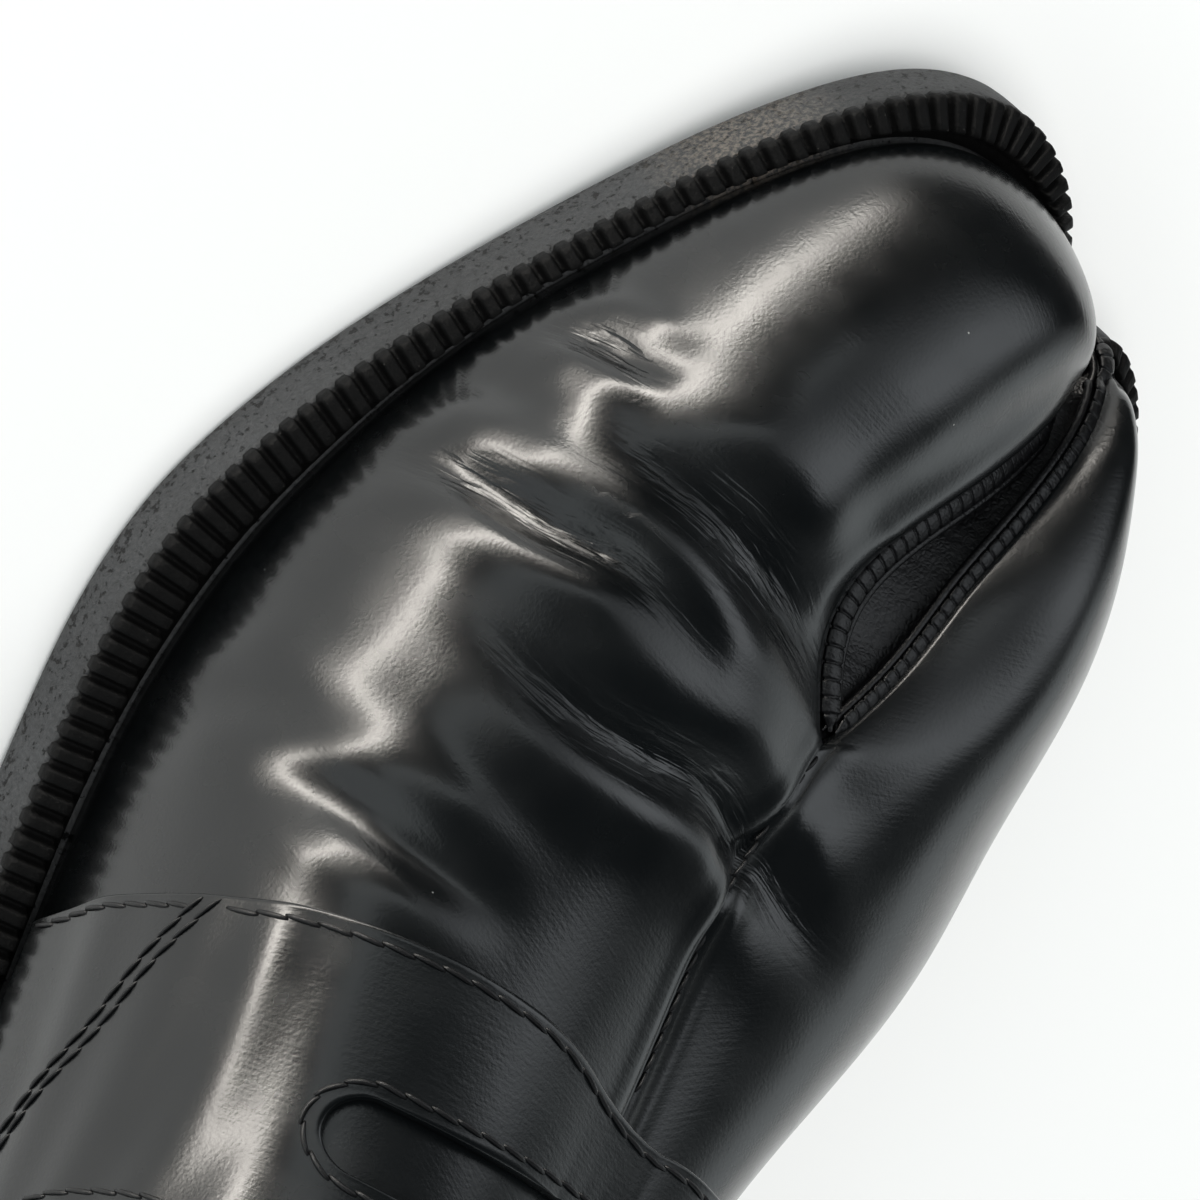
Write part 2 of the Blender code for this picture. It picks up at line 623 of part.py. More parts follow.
# Insole
foot_loop = plan_loop(0.5)[:, 2:]
extra = 1.4 * np.exp(-((foot_loop[:, 0] - 22) ** 2 / 60 + (foot_loop[:, 1] - 110) ** 2 / 200))
lining = inset(foot_loop, UPPER_WALL + 1.2 + extra)
clear = np.linalg.norm(lining[:, None] - plan_loop(0.1)[None, :, 2:], axis=2).min(1)
lining = lining[clear > UPPER_WALL + 1.1]
floor = lambda y: sole_top(y) + GAP
over = lambda y: sole_top(y) + GAP + INSOLE_THICK
plate("insole", [(lining, floor(lining[:, 1])), (lining, over(lining[:, 1]))], floor, over, 14.0,
      (0.05, 0.045, 0.04), 0.7)

# Tongue: curved plate under the throat, rising behind the strap
t = np.linspace(0, 1, 13)[:, None]
s = np.linspace(-1, 1, 11)[None]
length = 26.0 - 54.0 * t
tongue_y = length + 3.0 * s**2 * t
tongue_x = -1.5 + (15.0 + 3.0 * t) * s
tongue_x, tongue_y = np.broadcast_arrays(tongue_x, tongue_y)
THROAT_LINE = ((-40.0, -2.0, 14.0, 30.0), (85.0, 71.0, 63.4, 55.6))
tongue_z = np.interp(tongue_y, *THROAT_LINE) - UPPER_WALL - GAP - 7.0 * s**2
roof = []
for side in (LATERAL, MEDIAL):
    k = np.linspace(6, 12.5, 160)[:, None]
    roof.append(upper_point(side, k, np.linspace(0.3, 1, 90)[None]).reshape(-1, 3))
roof = np.vstack(roof)
spot = np.stack([tongue_x, tongue_y], -1).reshape(-1, 2)
near = np.linalg.norm(spot[:, None] - roof[None, :, :2], axis=2)
low = np.where(near.min(1) < 1.5, np.where(near < 1.5, roof[None, :, 2], 999.0).min(1), 999.0)
tongue_z = np.minimum(tongue_z, low.reshape(tongue_z.shape) - UPPER_WALL - GAP)
top_side = np.stack([tongue_x, tongue_y, tongue_z], -1)
face = normals(top_side, -1.0)
face = face * np.sign(face[6, 5, 2])
points, faces = skin(top_side, top_side - TONGUE_WALL * face)
outward(add("tongue", points, faces, (0.01, 0.01, 0.012), 0.3))
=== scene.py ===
import bpy
import numpy as np
from mathutils import Matrix, Vector
from mathutils.geometry import delaunay_2d_cdt


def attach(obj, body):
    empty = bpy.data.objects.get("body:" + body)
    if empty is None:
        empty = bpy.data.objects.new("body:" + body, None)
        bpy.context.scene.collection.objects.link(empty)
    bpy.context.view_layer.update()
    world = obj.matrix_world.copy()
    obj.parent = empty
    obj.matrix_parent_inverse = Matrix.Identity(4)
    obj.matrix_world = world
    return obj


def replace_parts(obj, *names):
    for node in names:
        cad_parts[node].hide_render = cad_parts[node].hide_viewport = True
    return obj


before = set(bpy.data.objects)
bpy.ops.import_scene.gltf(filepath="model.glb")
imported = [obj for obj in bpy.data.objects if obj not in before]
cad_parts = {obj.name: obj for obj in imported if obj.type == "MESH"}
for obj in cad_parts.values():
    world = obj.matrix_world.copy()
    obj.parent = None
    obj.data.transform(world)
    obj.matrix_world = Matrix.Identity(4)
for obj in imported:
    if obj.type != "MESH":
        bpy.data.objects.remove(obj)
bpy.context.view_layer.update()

# Camera: a long lens above the outer side of the forefoot, rolled so that the toe points to the
# upper right. SOLE_MIDDLE is the row frame's origin in the shoe's own millimetres.
SOLE_MIDDLE = np.array([0.208, -0.104, 0.0])
LENS_PLACE = np.array([-352.7, 77.9, 520.7])
LENS_RIGHT = np.array([0.67627, 0.57600, 0.45922])
LENS_BACK = np.array([-0.56177, 0.0, 0.82729])
camera = bpy.data.objects.new("camera", bpy.data.cameras.new("camera"))
bpy.context.scene.collection.objects.link(camera)
camera.data.lens = 180.0
camera.data.sensor_width = 36.0
camera.data.clip_start = 0.01
axes = np.eye(4)
axes[:3, 0] = LENS_RIGHT
axes[:3, 1] = np.cross(LENS_BACK, LENS_RIGHT)
axes[:3, 2] = LENS_BACK
axes[:3, 3] = (LENS_PLACE - SOLE_MIDDLE) * 0.001
camera.matrix_world = Matrix(axes.tolist())
bpy.context.scene.camera = camera
bpy.context.scene.view_settings.view_transform = "Standard"

# Outsole: a plate of black rubber, moulded, its side buffed after it was trimmed with the welt, so
# the side is matte with small torn pits. It is notched between the toe lobes and springs at the toe.
SOLE_THICK_FORE = 7.4
SOLE_THICK_SEAT = 6.0
HEEL_RISE = 17.5
TREAD_BACK = 35.0
TREAD_FRONT = 80.0
SEAT_FRONT = -62.0
TOE_SPRING = 0.00133
SOLE_THINS_FROM = 20.0
SOLE_THINS_OVER = 60.0
GAP = 0.3
# One row a station from the heel's back to the toe split: sole edge, then foot of the upper.
# Columns: sole_x, sole_y, foot_x, foot_y
LATERAL_PLAN = (
    (-2.5, -145.0, -2.5, -141.0),
    (-22.0, -139.0, -20.0, -135.8),
    (-34.5, -121.5, -31.0, -120.0),
    (-38.5, -97.0, -34.8, -97.0),
    (-38.5, -70.0, -34.6, -70.0),
    (-38.5, -43.0, -33.6, -43.0),
    (-40.0, -18.0, -34.0, -18.0),
    (-42.5, 3.0, -36.0, 2.0),
    (-45.2, 18.0, -38.0, 15.0),
    (-47.8, 31.0, -40.5, 28.0),
    (-50.4, 43.0, -42.8, 40.0),
    (-51.6, 54.0, -43.8, 52.0),
    (-50.9, 64.0, -43.2, 64.0),
    (-48.4, 73.8, -41.0, 75.5),
    (-44.9, 83.3, -38.0, 86.0),
    (-40.5, 93.0, -33.8, 96.5),
    (-35.6, 102.7, -29.0, 106.0),
    (-30.0, 113.2, -23.5, 116.0),
    (-24.2, 123.4, -17.8, 124.8),
    (-17.8, 132.8, -12.0, 131.6),
    (-10.1, 140.8, -5.2, 135.9),
    (-1.0, 144.7, 2.2, 137.2),
    (7.6, 143.2, 9.2, 136.0),
    (14.0, 138.8, 14.0, 132.6),
    (18.2, 132.6, 17.0, 127.6),
    (20.2, 125.0, 18.2, 122.0),
)
MEDIAL_PLAN = (
    (-2.5, -145.0, -2.5, -141.0),
    (17.0, -139.0, 15.0, -135.8),
    (29.0, -121.5, 25.4, -120.0),
    (32.5, -97.0, 29.0, -97.0),
    (32.0, -70.0, 28.4, -70.0),
    (30.0, -43.0, 26.0, -43.0),
    (30.2, -18.0, 25.4, -18.0),
    (33.0, 3.0, 27.0, 3.0),
    (36.6, 18.0, 28.6, 18.0),
    (41.0, 33.0, 31.4, 31.0),
    (46.2, 48.0, 36.0, 45.0),
    (50.4, 60.0, 41.6, 57.0),
    (52.0, 71.0, 44.4, 69.0),
    (51.4, 82.0, 43.8, 81.5),
    (50.4, 92.0, 43.4, 92.0),
    (49.2, 101.0, 42.4, 101.0),
    (47.0, 109.0, 40.6, 109.0),
    (44.2, 116.3, 38.4, 115.4),
    (40.6, 122.6, 36.0, 120.4),
    (36.4, 127.8, 33.4, 124.2),
    (31.8, 131.2, 31.0, 126.5),
    (27.4, 132.4, 29.0, 127.6),
    (24.3, 130.2, 27.6, 127.9),
    (22.9, 125.0, 26.5, 127.3),
)
SPLIT_APEX = (21.4, 114.0, 21.8, 107.0)


def smooth(rows, at):
    """Natural cubic spline through the rows of a table, read at fractional row numbers."""
    rows = np.asarray(rows, float)
    at = np.asarray(at, float)
    inside = np.arange(1, len(rows) - 1)
    system = np.eye(len(rows))
    system[inside, inside] = 4.0
    system[inside, inside - 1] = 1.0
    system[inside, inside + 1] = 1.0
    bend = np.zeros_like(rows)
    bend[1:-1] = 6.0 * (rows[:-2] - 2.0 * rows[1:-1] + rows[2:])
    bend = np.linalg.solve(system, bend)
    low = np.clip(np.floor(at).astype(int), 0, len(rows) - 2)
    t = (at - low)[..., None]
    u = 1.0 - t
    curve = (u**3 - u) * bend[low] + (t**3 - t) * bend[low + 1]
    return rows[low] * u + rows[low + 1] * t + curve / 6.0


def ease(t):
    """A smooth step: 0 up to 0, 1 from 1 on, and three squares less two cubes between."""
    t = np.clip(t, 0.0, 1.0)
    return t**2 * (3.0 - 2.0 * t)


def sole_under(y):
    """Underside: a smooth step up to the heel seat, a flat tread, a parabola of toe spring."""
    spring = np.clip(y - TREAD_FRONT, 0.0, None)
    return HEEL_RISE * ease((TREAD_BACK - y) / (TREAD_BACK - SEAT_FRONT)) + TOE_SPRING * spring**2


def sole_top(y):
    """Underside plus a thickness that eases from the forefoot's to the heel seat's."""
    thin = ease((SOLE_THINS_FROM - y) / SOLE_THINS_OVER)
    return sole_under(y) + SOLE_THICK_FORE + (SOLE_THICK_SEAT - SOLE_THICK_FORE) * thin


LATERAL_ROWS = np.vstack([MEDIAL_PLAN[1], LATERAL_PLAN, SPLIT_APEX])
MEDIAL_ROWS = np.vstack([LATERAL_PLAN[1], MEDIAL_PLAN, SPLIT_APEX])


def plan_loop(step):
    """Sole edge and foot line as one closed run: outer half to the split, inner half back."""
    left = smooth(LATERAL_ROWS, np.arange(1.0, len(LATERAL_PLAN) + 1.0, step))
    right = smooth(MEDIAL_ROWS, np.arange(1.0 + step, len(MEDIAL_PLAN) + 1.0, step)[::-1])
    return np.vstack([left, [SPLIT_APEX], right])


def unit(vectors):
    """Vectors brought to length 1."""
    return vectors / np.maximum(np.linalg.norm(vectors, axis=-1, keepdims=True), 1e-9)


def inset(loop, by):
    """The loop moved inwards along its own normals; by may be one number a point."""
    ahead = unit(np.roll(loop, -1, 0) - np.roll(loop, 1, 0))
    return loop + np.c_[ahead[:, 1], -ahead[:, 0]] * np.broadcast_to(by, len(loop))[:, None]


def numbered(points):
    """The numbers of a grid of points, in the shape of the grid."""
    return np.arange(points[..., 0].size).reshape(points.shape[:-1])


def quads(number):
    """Four-cornered faces of a grid of point numbers."""
    corners = number[:-1, :-1], number[:-1, 1:], number[1:, 1:], number[1:, :-1]
    return np.stack(corners, -1).reshape(-1, 4)


def piece(name, points, faces, finish, takes):
    """A smooth-shaded mesh from points in millimetres, riding on the shoe, its faces turned outwards
    by the sign of its volume. takes, the record's material slot, is not used."""
    points = (np.asarray(points, float).reshape(-1, 3) - SOLE_MIDDLE) * 0.001
    mesh = bpy.data.meshes.new(name)
    mesh.from_pydata(points.tolist(), [], [face for group in faces for face in group.tolist()])
    mesh.calc_loop_triangles()
    corners = np.empty(len(mesh.loop_triangles) * 3, np.int32)
    mesh.loop_triangles.foreach_get("vertices", corners)
    if np.linalg.det(points[corners.reshape(-1, 3)] - points.mean(0)).sum() < 0:
        mesh.flip_normals()
    mesh.polygons.foreach_set("use_smooth", np.ones(len(mesh.polygons), bool))
    mesh.materials.append(finish)
    made = bpy.data.objects.new(name, mesh)
    bpy.context.scene.collection.objects.link(made)
    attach(made, "root")
    return made


def plate(name, outline, profile, under, over, spacing, finish, takes):
    """A plate: rings of outline points, lowest first, joined by quads, and closed at the bottom and
    the top by triangles over a square grid of inside points. Each row of the profile gives a ring's
    inset and its share of the way up from the under face to the over face."""
    rings = []
    for into, up in profile:
        ring = inset(outline, into)
        rings.append(np.c_[ring, under(ring[:, 1]) * (1 - up) + over(ring[:, 1]) * up])
    loop = rings[0][:, :2]
    count = len(loop)
    low, high = loop.min(0), loop.max(0)
    across = np.meshgrid(np.arange(low[0], high[0], spacing), np.arange(low[1], high[1], spacing))
    inner = np.stack(across, -1).reshape(-1, 2)
    inner = inner[np.linalg.norm(inner[:, None] - loop[None], axis=2).min(1) > 0.7 * spacing]
    ring = np.arange(count)
    rim = np.c_[ring, np.roll(ring, -1)]
    flat = np.vstack([loop, inner])
    found = delaunay_2d_cdt([Vector(p) for p in flat.tolist()], rim.tolist(), [], 1, 1e-6)
    source = np.array([first[0] for first in found[3]])
    tops = source[np.array(found[2])]
    base = len(rings) * count
    below = np.where(tops < count, tops, base + tops - count)[:, ::-1]
    above = np.where(tops < count, tops + base - count, base + len(inner) + tops - count)
    number = np.arange(base).reshape(len(rings), count)
    number = np.c_[number, number[:, :1]]
    points = np.vstack([*rings, np.c_[inner, under(inner[:, 1])], np.c_[inner, over(inner[:, 1])]])
    sides = quads(number.T)
    turn = np.sum(loop[:, 0] * np.roll(loop[:, 1], -1) - loop[:, 1] * np.roll(loop[:, 0], -1))
    if turn > 0:
        sides = sides[:, ::-1]
    return piece(name, points, [below, above, sides], finish, takes)


def tag(mesh, name, table, kind="FLOAT"):
    """Keeps a number, or a vector, for each point of a mesh under a name that its material reads."""
    values = np.asarray(table, np.float32).ravel()
    found = mesh.attributes.new(name, kind, "POINT").data
    found.foreach_set("value" if kind == "FLOAT" else "vector", values)


def linear(code):
    """An sRGB hex colour as linear red, green, blue and alpha."""
    shade = np.array([int(code[i : i + 2], 16) for i in (1, 3, 5)]) / 255.0
    shade = np.where(shade <= 0.04045, shade / 12.92, ((shade + 0.055) / 1.055) ** 2.4)
    return (*shade.tolist(), 1.0)


def add_node(tree, kind, settings=(), **inputs):
    """Adds a shader node, sets its properties, and gives each input (by name, or i and a number) a
    value, or a link from a socket or from another node's first socket."""
    made = tree.nodes.new("ShaderNode" + kind)
    for name, value in dict(settings).items():
        setattr(made, name, value)
    for name, value in inputs.items():
        key = int(name[1:]) if name[1:].isdigit() else name.replace("_", " ")
        value = value.outputs[0] if isinstance(value, bpy.types.Node) else value
        if isinstance(value, bpy.types.NodeSocket):
            tree.links.new(value, made.inputs[key])
        else:
            made.inputs[key].default_value = value
    return made


def reckon(tree, operation, *terms):
    """One step of arithmetic on values or sockets."""
    return add_node(tree, "Math", {"operation": operation}, **{f"i{i}": term for i, term in enumerate(terms)})


def remap(tree, value, low, high, to_low=0.0, to_high=1.0):
    """A value's place between two limits, carried over to between two others, and held there."""
    return add_node(tree, "MapRange", Value=value, i1=low, i2=high, i3=to_low, i4=to_high)


def blend(tree, factor, low, high, kind="MIX"):
    """The colour at a factor between two others, each a hex code or a socket."""
    low, high = (linear(side) if isinstance(side, str) else side for side in (low, high))
    settings = {"data_type": "RGBA", "blend_type": kind}
    return add_node(tree, "Mix", settings, Factor=factor, i6=low, i7=high).outputs[2]


def dress(tree, shader, colour, height, deep, strength):
    """Links a colour, if one is given, to a shader, and a bump from a height field to it and its coat;
    deep is in metres."""
    if colour:
        tree.links.new(colour, shader.inputs["Base Color"])
    relief = add_node(tree, "Bump", Height=height, Distance=deep, Strength=strength)
    for socket in ("Normal", "Coat Normal"):
        tree.links.new(relief.outputs[0], shader.inputs[socket])


def finish_of(name, **fixed):
    """A new material with its Principled shader; fixed sets sockets that are the same all over."""
    made = bpy.data.materials.new(name)
    made.use_nodes = True
    shader = made.node_tree.nodes["Principled BSDF"]
    for socket, value in fixed.items():
        shader.inputs[socket.replace("_", " ")].default_value = value
    place = add_node(made.node_tree, "TexCoord").outputs["Object"]
    return made, made.node_tree, shader, place


# Black sole rubber, buffed: a dry matte grey-black with torn pits about 0.5 mm wide, fine buffing
# grit, dust that pales it in patches a few centimetres long, and one painted highlight at the toe.
# Centre of the painted highlight: a brownish glint on the sole's side near the toe, where light catches it.
TOE_GLINT_PLACE = (-0.0232, 0.125, 0.008)
sole_rubber, tree, shader, place = finish_of("buffed_black_rubber", Roughness=0.6, Specular_IOR_Level=0.3)
grit = add_node(tree, "TexNoise", Vector=place, Scale=1 / 0.0005, Detail=4.0, Roughness=0.65)
patch = add_node(tree, "TexNoise", Vector=place, Scale=1 / 0.018, Detail=3.0)
torn = add_node(tree, "TexNoise", Vector=place, Scale=1 / 0.0009, Detail=4.0, Roughness=0.65)
rub = add_node(tree, "Attribute", {"attribute_name": "from_tread"}).outputs["Fac"]
pits = remap(tree, reckon(tree, "ADD", torn, remap(tree, rub, 0.4, 5.0, -0.11, -0.02)), 0.33, 0.37)
dusty = remap(tree, patch, 0.3, 0.75, 0.55, 1.0)
worn = blend(tree, 1.0, blend(tree, grit, "#1a1b1c", "#5c5d5e"), dusty, "MULTIPLY")
# Painted highlight: a soft brownish patch near the toe, paler where the grit is coarse, standing in for light
# glinting off the rubber.
spot = add_node(tree, "VectorMath", {"operation": "DISTANCE"}, i0=place, i1=TOE_GLINT_PLACE).outputs["Value"]
painted_toe_glint = reckon(tree, "MULTIPLY", remap(tree, spot, 0.012, 0.003, 0.0, 0.75), remap(tree, grit, 0.42, 0.62))
dust_and_glint_colour = blend(tree, painted_toe_glint, blend(tree, pits, "#0b0b0c", worn), "#857b70")
dress(tree, shader, dust_and_glint_colour, reckon(tree, "ADD", grit, pits), 0.0003, 0.8)

# Inset and height of the side's rounded profile, lowest first. In the notch the insets are small, so
# that its two sides don't meet.
SOLE_SIDE = (
    (1.3, 0.0), (0.7, 0.05), (0.3, 0.3), (0.05, 0.8), (0.0, 1.4), (0.1, 2.6), (0.3, 4.2), (0.55, 5.8),
    (0.75, 6.7), (0.95, 7.15), (1.3, 7.36), (1.9, 7.4),
)
INNER_POINTS_AT = 6.0
outline = plan_loop(0.06)[:, :2]
from_notch = (outline[:, 0] - SPLIT_APEX[0]) ** 2 / 12 + np.clip(128 - outline[:, 1], 0, None) ** 2 / 300
room = 1 - 0.85 * np.exp(-from_notch) * (outline[:, 1] > 100)
profile = [(into * room, up / SOLE_THICK_FORE) for into, up in SOLE_SIDE]
outsole = plate("outsole_plate", outline, profile, sole_under, sole_top, INNER_POINTS_AT, sole_rubber,
                "sole_rubber")
above_tread = np.full(len(outsole.data.vertices), 9.0)
above_tread[: len(SOLE_SIDE) * len(outline)] = np.repeat([up for _, up in SOLE_SIDE], len(outline))
tag(outsole.data, "from_tread", above_tread)
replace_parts(outsole, "outsole")

# Heel: a low block of the same rubber, its breast hollowed a little, with a separate wear layer
# nailed and glued below it.
LIFT_THICK = 6.5
HEEL_STATION = 4.0
HEEL_INSET = 1.0
BREAST_HOLLOW = 3.0
HEEL_SIDE = ((1.2, 0.0), (0.5, 0.06), (0.1, 0.16), (0.0, 0.35), (0.0, 0.7), (0.15, 0.9), (0.7, 1.0))
inner_half = smooth(MEDIAL_ROWS, np.linspace(HEEL_STATION, 0, 70) + 1)[:, :2]
outer_half = smooth(LATERAL_ROWS, np.linspace(0, HEEL_STATION, 70) + 1)[1:, :2]
share = np.linspace(0, 1, 40)[1:-1, None]
breast = outer_half[-1] + (inner_half[0] - outer_half[-1]) * share
breast[:, 1] -= BREAST_HOLLOW * np.sin(np.pi * share[:, 0])
heel_line = np.vstack([inner_half, outer_half, breast])
profile = [(HEEL_INSET + 0.4 * into, up) for into, up in HEEL_SIDE]


def level(height):
    """A flat face at one height."""
    return lambda y: np.full_like(np.asarray(y, float), height)


for name, node, under, over, takes in (
    ("heel_block", "heel", level(LIFT_THICK + GAP), lambda y: sole_under(y) - GAP, "sole_rubber"),
    ("heel_lift", "top_lift", level(0.0), level(LIFT_THICK), "lift_rubber"),
):
    made = plate(name, heel_line, profile, under, over, INNER_POINTS_AT, sole_rubber, takes)
    spots = np.empty(len(made.data.vertices) * 3, np.float32)
    made.data.vertices.foreach_get("co", spots)
    tag(made.data, "from_tread", 1000 * spots[2::3])
    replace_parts(made, node)

# Insole: a board covered with a plain sock of smooth dark leather, lying on the outsole.
UPPER_WALL = 1.8
INSOLE_THICK = 2.6
SOCK_SIDE = ((0.0, 0.0), (0.0, 0.7), (0.25, 0.92), (0.8, 1.0))
sock_leather, tree, shader, place = finish_of("sock_leather", Roughness=0.62, IOR=1.5)
grain = add_node(tree, "TexVoronoi", Vector=place, Scale=1 / 0.0009)
dress(tree, shader, blend(tree, grain, "#3a332d", "#4b4239"), grain, 0.0001, 0.4)
foot_line = plan_loop(0.2)[:, 2:]
near_split = (foot_line[:, 0] - 22) ** 2 / 60 + (foot_line[:, 1] - 110) ** 2 / 200
margin = UPPER_WALL + 1.2 + 1.4 * np.exp(-near_split)
sock_line = inset(foot_line, margin)
clear = np.linalg.norm(sock_line[:, None] - plan_loop(0.05)[None, :, 2:], axis=2).min(1)
sock_line = sock_line[clear > margin - 0.12]
sock = plate("insole_sock", sock_line, SOCK_SIDE, lambda y: sole_top(y) + GAP,
             lambda y: sole_top(y) + GAP + INSOLE_THICK, 5.0, sock_leather, "insole_leather")
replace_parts(sock, "insole")

# Upper: one skin of polished black calf over a split-toe last, two halves sewn along the instep and
# open in a cleft between the toe lobes. Worn, so walking has folded it across the vamp.
LATERAL_COLLAR = (
    (-2.5, -134.5, 79.0),
    (-15.5, -128.0, 77.5),
    (-25.5, -112.0, 73.5),
    (-30.5, -89.0, 69.0),
    (-32.5, -66.0, 66.5),
    (-32.0, -46.0, 67.5),
    (-29.0, -28.0, 69.5),
    (-23.0, -12.0, 70.8),
    (-13.5, -3.4, 71.4),
    (-3.0, -2.0, 71.0),
)
MEDIAL_COLLAR = (
    (-2.5, -134.5, 79.0),
    (10.5, -128.0, 77.5),
    (20.0, -112.0, 73.5),
    (25.0, -89.0, 69.5),
    (26.5, -66.0, 67.5),
    (25.5, -46.0, 68.5),
    (23.0, -28.0, 70.5),
    (17.0, -12.0, 71.2),
    (7.5, -3.4, 71.4),
    (-3.0, -2.0, 71.0),
)
CENTRE_SEAM = (
    (-3.0, -2.0, 71.0),
    (-0.5, 14.0, 63.4),
    (2.5, 30.0, 55.6),
    (4.0, 46.0, 48.4),
    (4.4, 62.0, 42.8),
    (8.0, 79.0, 37.5),
)
LATERAL_SPLIT = (
    (8.0, 79.0, 37.5),
    (4.0, 90.0, 32.0),
    (7.0, 100.0, 28.5),
    (12.5, 108.0, 25.5),
    (16.2, 113.2, 23.0),
    (18.6, 116.8, 21.0),
    (20.0, 119.4, 19.6),
    (20.7, 121.0, 18.4),
    (21.0, 122.0, 17.4),
    (21.0, 122.4, 16.6),
    (20.8, 122.2, 16.0),
    (20.4, 121.2, 15.6),
)
MEDIAL_SPLIT = (
    (8.0, 79.0, 37.5),
    (14.3, 90.0, 32.5),
    (17.3, 100.0, 29.2),
    (20.2, 108.0, 26.6),
    (22.6, 114.5, 24.2),
    (24.3, 119.5, 22.0),
    (25.4, 123.2, 19.8),
    (26.0, 125.8, 17.8),
    (26.2, 126.8, 16.4),
    (26.2, 126.8, 15.4),
)
# The section from foot to edge at each station: side bulge, crown height, squareness power
LATERAL_FORM = (
    (2.5, 0.0, 0.95),
    (2.5, 0.0, 0.95),
    (2.2, 0.0, 0.95),
    (1.8, 0.0, 0.95),
    (1.6, 0.0, 0.95),
    (1.6, 0.0, 0.95),
    (2.0, 0.0, 0.95),
    (2.6, 0.0, 0.95),
    (3.0, 0.5, 0.95),
    (3.2, 1.0, 0.95),
    (3.2, 1.5, 0.92),
    (3.0, 2.0, 0.90),
    (2.8, 2.5, 0.88),
    (2.5, 3.5, 0.86),
    (2.2, 5.0, 0.84),
    (2.0, 7.5, 0.82),
    (1.8, 9.0, 0.80),
    (1.7, 10.0, 0.80),
    (1.6, 10.5, 0.80),
    (1.6, 10.8, 0.80),
    (1.6, 10.5, 0.80),
    (1.6, 9.5, 0.80),
    (1.6, 8.0, 0.80),
    (1.5, 6.0, 0.80),
    (1.3, 3.5, 0.80),
    (0.8, 1.0, 0.80),
)
MEDIAL_FORM = (
    (2.5, 0.0, 0.95),
    (2.4, 0.0, 0.95),
    (2.0, 0.0, 0.95),
    (1.5, 0.0, 0.95),
    (1.2, 0.0, 0.95),
    (1.4, 0.0, 0.96),
    (1.6, 0.0, 1.00),
    (1.6, -0.4, 1.02),
    (1.6, -1.2, 1.04),
    (1.6, -1.8, 1.05),
    (1.8, -2.0, 1.05),
    (2.0, -1.6, 1.02),
    (2.2, -0.4, 0.96),
    (2.2, 1.2, 0.92),
    (2.0, 3.0, 0.88),
    (2.0, 4.8, 0.85),
    (1.8, 5.4, 0.82),
    (1.6, 5.0, 0.81),
    (1.4, 4.2, 0.82),
    (1.3, 3.4, 0.83),
    (1.2, 2.6, 0.84),
    (0.9, 1.8, 0.84),
    (0.5, 1.2, 0.80),
    (0.3, 0.3, 0.80),
)
THROAT = 9
SPLIT = 14
LATERAL = {"rows": LATERAL_ROWS, "collar": LATERAL_COLLAR, "split": LATERAL_SPLIT, "form": LATERAL_FORM,
           "last": len(LATERAL_PLAN) - 1, "turn": 1.0}
MEDIAL = {"rows": MEDIAL_ROWS, "collar": MEDIAL_COLLAR, "split": MEDIAL_SPLIT, "form": MEDIAL_FORM,
          "last": len(MEDIAL_PLAN) - 1, "turn": -1.0}
HULL = 6.75  # brings v (1 - v)^2 to 1 at its highest


def edge_line(side, k):
    """Upper edge of a section: the collar, then the centre seam, then the lobe's edge."""
    at_collar = smooth(side["collar"], np.clip(k, 0, THROAT))
    at_seam = smooth(CENTRE_SEAM, np.clip(k - THROAT, 0, SPLIT - THROAT))
    at_split = smooth(side["split"], np.clip(k - SPLIT, 0, len(side["split"]) - 1))
    k = k[..., None]
    return np.where(k <= THROAT, at_collar, np.where(k <= SPLIT, at_seam, at_split))


def plan_at(side, k):
    """Plan row at a station, and the outward direction square to the foot line there."""
    ahead = unit(smooth(side["rows"], k + 1.02)[..., 2:] - smooth(side["rows"], k + 0.98)[..., 2:])
    return smooth(side["rows"], k + 1), np.stack([-ahead[..., 1], ahead[..., 0]], -1) * side["turn"]


def upper_point(side, k, v):
    """A point of the upper's outside: from the foot line (v 0) a squared quarter ellipse rises to the
    edge line (v 1), pushed out by the side bulge and up by the crown. Below the edge, the edge line is
    averaged along the shoe, so its corners don't run down the wall."""
    k, v = np.broadcast_arrays(np.asarray(k, float), np.asarray(v, float))
    row, out = plan_at(side, k)
    foot = row[..., 2:]
    reach = np.minimum(1.3 * (1 - v) ** 0.8, np.minimum(k, side["last"] - k))
    top = sum(edge_line(side, k + step * reach) for step in (-1.0, -0.6, -0.3, 0.0, 0.3, 0.6, 1.0)) / 7
    bulge, crown, square = np.moveaxis(smooth(side["form"], k), -1, 0)
    angle = np.clip(v, 0, 1) * np.pi / 2
    across = 1 - np.cos(angle) ** square
    rise = np.sin(angle) ** square
    push = bulge * HULL * v * (1 - v) ** 2
    low = sole_top(foot[..., 1]) + GAP
    xy = foot + (top[..., :2] - foot) * across[..., None] + out * push[..., None]
    z = low + (top[..., 2] - low) * rise + crown * np.sin(np.pi * np.clip(across, 0, 1))
    return np.concatenate([xy, z[..., None]], -1)


def normals(grid, turn):
    """Outward unit normals of a grid of points [along, up]: the cross product of its two slopes."""
    return unit(np.cross(np.gradient(grid, axis=1), np.gradient(grid, axis=0)) * turn)


def over_both(k, s):
    """Points across both halves: s runs from the outer foot (0) over the seam (1) to the inner foot (2)."""
    k, s = np.broadcast_arrays(np.asarray(k, float), np.asarray(s, float))
    outer = upper_point(LATERAL, np.clip(k, 0, LATERAL["last"]), np.clip(s, 0, 1))
    inner = upper_point(MEDIAL, np.clip(k, 0, MEDIAL["last"]), np.clip(2 - s, 0, 1))
    return np.where((s <= 1)[..., None], outer, inner)


